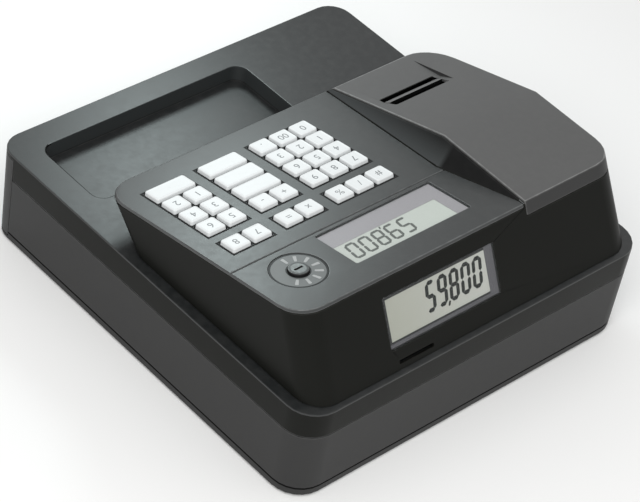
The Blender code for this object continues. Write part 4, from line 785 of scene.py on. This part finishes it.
def display_glass(name, colour, shade):
    """The face of a liquid crystal display: fine dots, clouding, a shaded end and a clear cover."""
    material = bpy.data.materials.new(name)
    material.use_nodes = True
    tree = material.node_tree
    shader = tree.nodes["Principled BSDF"]
    where = add_node(tree, "ShaderNodeTexCoord").outputs["Object"]
    x = add_node(tree, "ShaderNodeSeparateXYZ", i0=where).outputs[0]
    clouds = noise(tree, where, scale=22.0, detail=3.0, roughness=0.5)
    clouds = arithmetic(tree, "MULTIPLY", clouds, 0.25)
    share = spread_range(tree, x, shade_start, shade_end, 0.0, 0.85)
    share = arithmetic(tree, "ADD", share, clouds)
    dots = noise(tree, where, scale=2600.0, detail=1.0, roughness=0.5)
    share = arithmetic(tree, "ADD", share, spread_range(tree, dots, 0.3, 0.7, -0.04, 0.04))
    face = blend_colours(tree, share, (*colour, 1.0), (*shade, 1.0))
    tree.links.new(face, shader.inputs["Base Color"])
    tree.links.new(spread_range(tree, clouds, 0.05, 0.2, 0.18, 0.22), shader.inputs["Roughness"])
    shader.inputs["Specular IOR Level"].default_value = 0.3
    shader.inputs["Coat Weight"].default_value = 0.6
    shader.inputs["Coat Roughness"].default_value = 0.06
    return material


operator_glass = display_glass("operator_glass", (0.57, 0.62, 0.57), (0.56, 0.60, 0.56))
customer_glass = display_glass("customer_glass", (0.50, 0.51, 0.48), (0.36, 0.37, 0.31))
reading_ink = moulded(
    "reading_ink", (0.008, 0.009, 0.007), (0.03, 0.03, 0.03), roughness=0.55, specular=0.1,
    Grain_Scale=500.0, Dust=0.0)
# A lighter copy of the ink, painting the light on the operator's upturned glass.
painted_light_ink = moulded(
    "painted_light_ink", (0.10, 0.11, 0.10), (0.12, 0.12, 0.12),
    roughness=0.45, specular=0.3, Grain_Scale=500.0)
coat_node("operator_display", operator_glass)
coat_node("customer_display", customer_glass)
film_gap = 0.00002
film_thickness = 0.00008
film_margin = 0.0012
ink_gap = 0.00001
ink_height = film_gap + film_thickness + ink_gap


def add_film(name, low, high, glass_top, material, place):
    """The polariser film that lies on a display's glass."""
    bottom = glass_top + film_gap
    film = add_block(name, (*low, bottom), (*high, bottom + film_thickness))
    film.data.transform(place)
    dress(film, material, "case")


glass_low, glass_high = local_box(["operator_display"], panel)
operator_opening = (
    (glass_low.x + film_margin, glass_low.y + film_margin),
    (window_high.x - film_margin, window_high.y - film_margin))
operator_end = 0.0048
add_film("operator_film", *operator_opening, glass_high.z, operator_glass, panel)
line = Matrix.Translation((
    glass_high.x - operator_end, (glass_low.y + glass_high.y) / 2, glass_high.z + ink_height))
operator_reading = make_reading(
    "operator_reading", "59,800", width=0.0095, height=0.0180, stroke=0.0021, pitch=0.0120,
    slant=9, place=panel @ line)
dress(operator_reading, painted_light_ink, "case")

wall = face_frame("customer_window", Vector((0, 1, 0)), Vector((-1, 0, 0)))
pane_low, pane_high = local_box(["customer_display"], wall)
customer_overhang = 0.0023
customer_end = 0.0019
customer_line = 0.0190
customer_opening = (
    (pane_low.x + film_margin, pane_low.y + film_margin),
    (pane_high.x + customer_overhang, pane_high.y - film_margin))
add_film("customer_film", *customer_opening, pane_high.z, customer_glass, wall)
line = Matrix.Translation((
    pane_high.x - customer_end, pane_low.y + customer_line, pane_high.z + ink_height))
customer_reading = make_reading(
    "customer_reading", "59,800", width=0.0093, height=0.0226, stroke=0.0030, pitch=0.0112,
    slant=6, place=wall @ line)
dress(customer_reading, reading_ink, "case")


# Windows
# Clear acrylic panes, flush with the panel and with the back wall. A border is printed under each
# round a clear opening: light grey for the operator, and black with a grey strip for the customer.

def clear_acrylic(name):
    """Acrylic thin enough to show what lies under it as it is, with a polished surface."""
    material = bpy.data.materials.new(name)
    material.use_nodes = True
    tree = material.node_tree
    shader = tree.nodes["Principled BSDF"]
    where = add_node(tree, "ShaderNodeTexCoord").outputs["Object"]
    smears = noise(tree, where, scale=35.0, detail=5.0, roughness=0.7)
    tree.links.new(spread_range(tree, smears, 0.35, 0.7, 0.05, 0.08), shader.inputs["Roughness"])
    tint = blend_colours(tree, smears, (0.30, 0.32, 0.33, 1.0), (0.38, 0.40, 0.40, 1.0))
    tree.links.new(tint, shader.inputs["Base Color"])
    shader.inputs["Alpha"].default_value = 0.05
    shader.inputs["IOR"].default_value = 1.49
    return material


acrylic = clear_acrylic("clear_acrylic")
moulded_shell("operator_window", "operator_pane", acrylic, radius=0.0003)
moulded_shell("customer_window", "customer_pane", acrylic, radius=0.0003)

border_light = moulded(
    "border_light_print", (0.33, 0.32, 0.34), (0.3, 0.3, 0.3), roughness=0.40, specular=0.5,
    Grain_Scale=300.0, Mottle=0.12)
border_grey = moulded(
    "border_grey_print", (0.075, 0.072, 0.082), (0.1, 0.1, 0.1), roughness=0.40, specular=0.4,
    Grain_Scale=300.0, Mottle=0.12)
border_black = moulded(
    "border_black_print", (0.006, 0.006, 0.006), (0.01, 0.01, 0.01), roughness=0.45, specular=0.3,
    Grain_Scale=300.0, Mottle=0.12)
print_thickness = 0.00005
print_gap = 0.00003
print_margin = 0.0006
past_window = 0.02
strip_drop = 0.0015


def print_border(name, window, surface, opening, layer, material):
    """A border print under a window, in a layer of its own, from near its rim to an opening."""
    low, high = local_box([window], surface)
    bottom = low.z - (print_gap + print_thickness) * (layer + 1)
    piece = add_plate(
        name, [value + print_margin for value in low[:2]],
        [value - print_margin for value in high[:2]], [opening], bottom, print_thickness, surface)
    dress(piece, material, "case")


(left, front), (right, back) = operator_opening
two_sides = ((left, front), (right + past_window, back + past_window))
print_border("operator_border", "operator_window", panel, two_sides, 0, border_light)
(left, foot), (right, top) = customer_opening
two_sides = ((left - past_window, foot - strip_drop), (right, top + past_window))
print_border("customer_strip", "customer_window", wall, two_sides, 0, border_grey)
print_border("customer_border", "customer_window", wall, customer_opening, 1, border_black)


# Mode switch
# A black plug with a steel keyway face, which turns with its key in a round dial sunk in the panel.
# The dial is a light disc between a dark ring and a dark well, with eight plain bars printed round
# its far side.

def add_disc(name, outer, inner, bottom, thickness, place):
    """A flat disc, or a ring if inner isn't zero, made from a circle and given its thickness."""
    bpy.ops.object.select_all(action="DESELECT")
    bpy.ops.mesh.primitive_circle_add(
        vertices=64, radius=outer, fill_type="NGON", location=(0, 0, bottom))
    piece = bpy.context.object
    piece.name = name
    bpy.ops.object.transform_apply(location=True, rotation=True, scale=True)
    edit_piece(piece)
    if inner:
        bpy.ops.mesh.inset(thickness=outer - inner)
        bpy.ops.mesh.delete(type="FACE")
        bpy.ops.mesh.select_all(action="SELECT")
    bpy.ops.mesh.extrude_region_move(TRANSFORM_OT_translate={"value": (0, 0, thickness)})
    bpy.ops.mesh.select_all(action="SELECT")
    bpy.ops.mesh.normals_make_consistent(inside=False)
    bpy.ops.object.mode_set(mode="OBJECT")
    smooth(piece)
    piece.data.transform(place)
    return piece


plug_low, plug_high = local_box(["mode_switch"], panel)
dial = panel @ Matrix.Translation(
    ((plug_low.x + plug_high.x) / 2, (plug_low.y + plug_high.y) / 2, 0))
dial_floor = -0.00058
disc_outer = 0.0188
disc_inner = 0.0088
disc_thickness = 0.00012
ring_outer = 0.0203
ring_inner = 0.0189
ring_thickness = 0.00015
well_outer = 0.0087
well_inner = 0.0078
well_thickness = 0.00010
dial_light = moulded(
    "dial_light_print", (0.115, 0.122, 0.122), (0.3, 0.3, 0.3),
    roughness=0.42, specular=0.5, Grain_Scale=900.0)
dial_dark = moulded(
    "dial_dark_print", (0.009, 0.010, 0.010), (0.03, 0.03, 0.03),
    roughness=0.45, specular=0.3, Dust=0.0)
label_white = moulded(
    "label_white_print", (0.36, 0.37, 0.37), (0.6, 0.6, 0.6),
    roughness=0.45, specular=0.4, Grain_Scale=900.0)
disc = add_disc("dial_disc", disc_outer, disc_inner, dial_floor, disc_thickness, dial)
dress(disc, dial_light, "case")
ring = add_disc("dial_ring", ring_outer, ring_inner, dial_floor, ring_thickness, dial)
dress(ring, dial_dark, "case")
well = add_disc("dial_well", well_outer, well_inner, dial_floor, well_thickness, dial)
dress(well, dial_dark, "case")

bar_count = 8
first_bar = math.radians(44)
bar_step = math.radians(32.3)
bar_near = 0.0108
bar_middle = 0.0139
bar_far = 0.0170
bar_half_width = 0.00125
bar_thickness = 0.00006
bar_corner = 0.0006
bar_taper = 0.75
bar_master = add_block(
    "dial_bar", (bar_near, -bar_half_width, 0), (bar_far, bar_half_width, bar_thickness))
edit_piece(bar_master)
choose(bar_master, "EDGE", lambda edge: rise(edge) > bar_thickness / 2)
bpy.ops.mesh.bevel(offset=bar_corner, segments=3, affect="EDGES")
choose(bar_master, "VERT", lambda vertex: vertex.co.x < bar_middle)
bpy.ops.transform.resize(value=(1, bar_taper, 1), center_override=(bar_middle, 0, 0))
bpy.ops.object.mode_set(mode="OBJECT")
on_disc = Matrix.Translation((0, 0, dial_floor + disc_thickness))
bars = []
for n in range(bar_count):
    turn = dial @ Matrix.Rotation(first_bar + n * bar_step, 4, "Z")
    bars.append(copy_piece(bar_master, "dial_bar", turn @ on_disc))
discard(bar_master)
dress(join_pieces(bars, "dial_bars"), label_white, "case")

plug_black = moulded(
    "plug_black_abs", (0.010, 0.010, 0.010), (0.06, 0.06, 0.06),
    roughness=0.35, specular=0.5, Grain_Depth=0.00001)
plug_steel = metal(
    "plug_steel", (0.20, 0.21, 0.21), roughness=0.45, Streaks=(900.0, 900.0, 900.0), Tarnish=0.2)
moulded_shell("mode_switch", "switch_plug", plug_black, radius=0.0006)
face_radius = 0.0056
face_thickness = 0.002
face_edge = 0.0002
face_stand = 0.0001
keyway_reach = 0.0036
keyway_half_width = 0.0009
keyway_floor = 0.0006
plug_face = add_disc(
    "switch_face", face_radius, 0.0, 0, face_thickness, Matrix.Identity(4))
keyway = add_block(
    "keyway", (-keyway_reach, -keyway_half_width, keyway_floor),
    (keyway_reach, keyway_half_width, face_thickness * 2))
cut = plug_face.modifiers.new("keyway", "BOOLEAN")
cut.object = keyway
cut.solver = "EXACT"
bpy.ops.object.select_all(action="DESELECT")
bpy.context.view_layer.objects.active = plug_face
plug_face.select_set(True)
bpy.ops.object.modifier_apply(modifier=cut.name)
discard(keyway)
round_edges(plug_face, face_edge)
on_plug = Matrix.Translation((0, 0, plug_high.z - face_thickness + face_stand))
plug_face.data.transform(dial @ on_plug)
dress(plug_face, plug_steel, "mode_switch")


# Keys
# Thirty-one off-white ABS caps in three clusters, with dished tops and soft edges. Each clips into
# the panel from below and rests on the rubber sheet. Plain grey figures and signs are printed on
# the single keys and the wide ones are blank. A thin black sheet round and between the keys of
# every cluster is painted shadow in the gaps.

key_lip = 0.0006
key_corner = 0.0022
key_taper = 0.0007
key_edge = 0.0009
key_flat = 0.0003
key_dish_width = 0.0008
key_dish = 0.0003
top_only = 0.99
key_stand = keys_high.z
key_skirt = -0.0034
key_clearance = 0.0001
cluster_shadow_margin = 0.0015
cluster_shadow_lift = 0.00001
cluster_shadow_thickness = 0.00007
mark_size = 0.0085
mark_thickness = 0.00004
# Black for the painted shadow in the gaps round and between the keys.
cluster_shadow_black = moulded(
    "cluster_painted_shadow", (0.008, 0.008, 0.008), (0.01, 0.01, 0.01),
    roughness=0.6, specular=0.2, Dust=0.0)
key_white = moulded(
    "key_white_abs", (0.74, 0.76, 0.77), (0.82, 0.84, 0.84), roughness=0.42, specular=0.5,
    Grain_Depth=0.00001, Grain_Scale=1800.0, Mottle=0.03, Dust=0.0)
key_ink = moulded(
    "key_ink", (0.20, 0.21, 0.22), (0.2, 0.2, 0.2), roughness=0.45, specular=0.4,
    Grain_Scale=900.0, Mottle=0.3, Dust=0.0)


def make_key_cap(width, length):
    """One key cap about its own middle, in the panel's frame."""
    cap = add_block(
        "key_cap", (-width / 2, -length / 2, key_skirt), (width / 2, length / 2, key_stand))
    edit_piece(cap)
    choose(cap, "EDGE", lambda edge: rise(edge) > key_stand)
    bpy.ops.mesh.bevel(offset=key_corner, segments=5, affect="EDGES")
    choose(cap, "FACE", lambda face: face.normal.z > top_only)
    bpy.ops.transform.resize(
        value=(1 - 2 * key_taper / width, 1 - 2 * key_taper / length, 1),
        center_override=(0, 0, key_stand))
    choose(cap, "EDGE", lambda edge: all(
        vertex.co.z > key_stand * top_only for vertex in edge.verts))
    bpy.ops.mesh.bevel(offset=key_edge, segments=3, affect="EDGES")
    choose(cap, "FACE", lambda face: face.normal.z > top_only)
    bpy.ops.mesh.inset(thickness=key_flat, depth=0)
    bpy.ops.mesh.inset(thickness=key_dish_width, depth=-key_dish)
    bpy.ops.mesh.select_all(action="SELECT")
    bpy.ops.mesh.normals_make_consistent(inside=False)
    bpy.ops.object.mode_set(mode="OBJECT")
    smooth(cap, angle=50)
    return cap


def add_words(name, words, place):
    """Flat lettering, made from text into a thin mesh before it is placed."""
    bpy.ops.object.select_all(action="DESELECT")
    bpy.ops.object.text_add(location=(0, 0, 0))
    piece = bpy.context.object
    piece.data.body = words
    piece.data.size = mark_size
    piece.data.align_x = "CENTER"
    piece.data.align_y = "CENTER"
    piece.data.extrude = mark_thickness
    bpy.ops.object.convert(target="MESH")
    piece = bpy.context.object
    piece.name = name
    piece.data.transform(place)
    return piece


key_marks = {
    "left_1": (".", "00", "0"), "left_2": ("3", "2", "1"), "left_3": ("6", "5", "4"),
    "left_4": ("9", "8", "7"), "left_5": ("%", "/", "#"),
    "middle_4": ("-", "+"), "middle_5": ("=", "x"),
    "right_2": ("2", "1"), "right_3": ("4", "3"), "right_4": ("6", "5"), "right_5": ("8", "7")}
on_dish = Matrix.Translation((0, 0, key_stand - key_dish))
masters = {}
openings = {}
for name in key_names:
    low, high = local_box([name], panel)
    size = (round(high.x - low.x - 2 * key_lip, 5), round(high.y - low.y - 2 * key_lip, 5))
    if size not in masters:
        masters[size] = make_key_cap(*size)
    middle = panel @ Matrix.Translation(((low.x + high.x) / 2, (low.y + high.y) / 2, 0))
    cap = copy_piece(masters[size], name.replace("key_", "cap_"), middle)
    dress(cap, key_white, name, [name])
    cluster, row, column = name.split("_")[1:]
    inset = key_lip - key_clearance
    openings.setdefault(f"{cluster}_{'back' if row == '5' else 'front'}", []).append(
        ((low.x + inset, low.y + inset), (high.x - inset, high.y - inset)))
    marks = key_marks.get(f"{cluster}_{row}")
    if marks:
        words = add_words(
            name.replace("key_", "mark_"), marks[int(column) - 1], middle @ on_dish)
        dress(words, key_ink, name)
discard(*masters.values())
# A thin black sheet round each cluster's keys, painted shadow in the gaps.
for cluster, places in openings.items():
    nearest = [min(place[0][axis] for place in places) - cluster_shadow_margin for axis in (0, 1)]
    farthest = [max(place[1][axis] for place in places) + cluster_shadow_margin for axis in (0, 1)]
    cluster_shadow = add_plate(
        f"surround_{cluster}", nearest, farthest, places, cluster_shadow_lift, cluster_shadow_thickness, panel)
    dress(cluster_shadow, cluster_shadow_black, "case")


# Under the keys
# A moulded silicone sheet with a pad under every key, and the green circuit board that it lies on.
# The panel's bosses hold both down.

silicone = moulded(
    "grey_silicone", (0.23, 0.23, 0.23), (0.3, 0.3, 0.3),
    roughness=0.60, specular=0.4, Grain_Scale=500.0, Dust=0.06)
coat_node("key_sheet", silicone)


def board_material():
    """Green solder mask with the lighter tracks and pads that show through it."""
    material = bpy.data.materials.new("solder_mask_green")
    material.use_nodes = True
    tree = material.node_tree
    shader = tree.nodes["Principled BSDF"]
    where = add_node(tree, "ShaderNodeTexCoord").outputs["Object"]
    tracks = add_node(
        tree, "ShaderNodeTexVoronoi", {"feature": "DISTANCE_TO_EDGE"},
        Vector=where, Scale=240.0).outputs[0]
    lines = spread_range(tree, tracks, 0.04, 0.07, 1.0, 0.0)
    colour = blend_colours(tree, lines, (0.012, 0.085, 0.035, 1.0), (0.05, 0.20, 0.08, 1.0))
    weave = noise(tree, where, 900.0)
    fibres = spread_range(tree, weave, 0.4, 0.7, 0.0, 0.15)
    colour = blend_colours(tree, fibres, colour, (0.10, 0.20, 0.10, 1.0))
    tree.links.new(colour, shader.inputs["Base Color"])
    tree.links.new(spread_range(tree, weave, 0.3, 0.7, 0.25, 0.38), shader.inputs["Roughness"])
    bump = add_node(tree, "ShaderNodeBump", Strength=0.4, Distance=0.00004, Height=lines)
    tree.links.new(bump.outputs[0], shader.inputs["Normal"])
    return material


coat_node("main_board", board_material())


# Drawer
# The front panel is the case's grey ABS with a lock in it. Behind it a folded and plated steel box
# runs on the rails, with a black till tray that lifts out and three sprung note clips on a rod.

moulded_shell("drawer_front", "drawer_face", case_grey, radius=0.0008)
lock_steel = metal(
    "lock_steel", (0.66, 0.66, 0.65), roughness=0.22, Streaks=(700.0, 700.0, 700.0), Tarnish=0.15)
moulded_shell("drawer_lock", "drawer_barrel", lock_steel, radius=0.0003)
plated_steel = metal(
    "plated_steel", (0.56, 0.56, 0.54), roughness=0.38, Streaks=(260.0, 260.0, 260.0),
    Streak_Depth=0.00003, Tarnish=0.5)
moulded_shell("drawer_box", "drawer_pan", plated_steel, radius=0.0003)
till_black = moulded(
    "till_black_abs", (0.018, 0.018, 0.018), (0.05, 0.05, 0.05), roughness=0.45, specular=0.4,
    Grain_Scale=1100.0, Grain_Depth=0.00005, Dust=0.08)
moulded_shell("till_tray", "till_insert", till_black, radius=0.0005, pierced=True)
clip_black = moulded(
    "clip_black_nylon", (0.022, 0.022, 0.022), (0.06, 0.06, 0.06),
    roughness=0.40, specular=0.45, Grain_Depth=0.00002)
for n in (1, 2, 3):
    moulded_shell(f"note_clip_{n}", f"note_spring_{n}", clip_black, radius=0.0003)
rod_steel = metal(
    "rod_steel", (0.62, 0.62, 0.61), roughness=0.24, Streaks=(1500.0, 60.0, 60.0), Tarnish=0.2)
coat_node("clip_rod", rod_steel)


# Drawer catch
# A plated lever turns on a post behind the drawer and holds its hook. A solenoid pulls it clear,
# and a coil spring then pushes the drawer open.

lever_steel = metal(
    "lever_steel", (0.63, 0.60, 0.52), roughness=0.32, Streaks=(300.0, 300.0, 300.0), Tarnish=0.5)
coil_wrap = moulded(
    "solenoid_wrap", (0.03, 0.03, 0.032), (0.2, 0.2, 0.2),
    roughness=0.35, specular=0.5, Grain_Scale=300.0)
spring_steel = metal(
    "spring_steel", (0.50, 0.50, 0.50), roughness=0.28, Streaks=(400.0, 400.0, 400.0), Tarnish=0.3)
moulded_shell("latch_lever", "catch_lever", lever_steel, radius=0.0002)
coat_node("latch_solenoid", coil_wrap)
coat_node("drawer_spring", spring_steel)
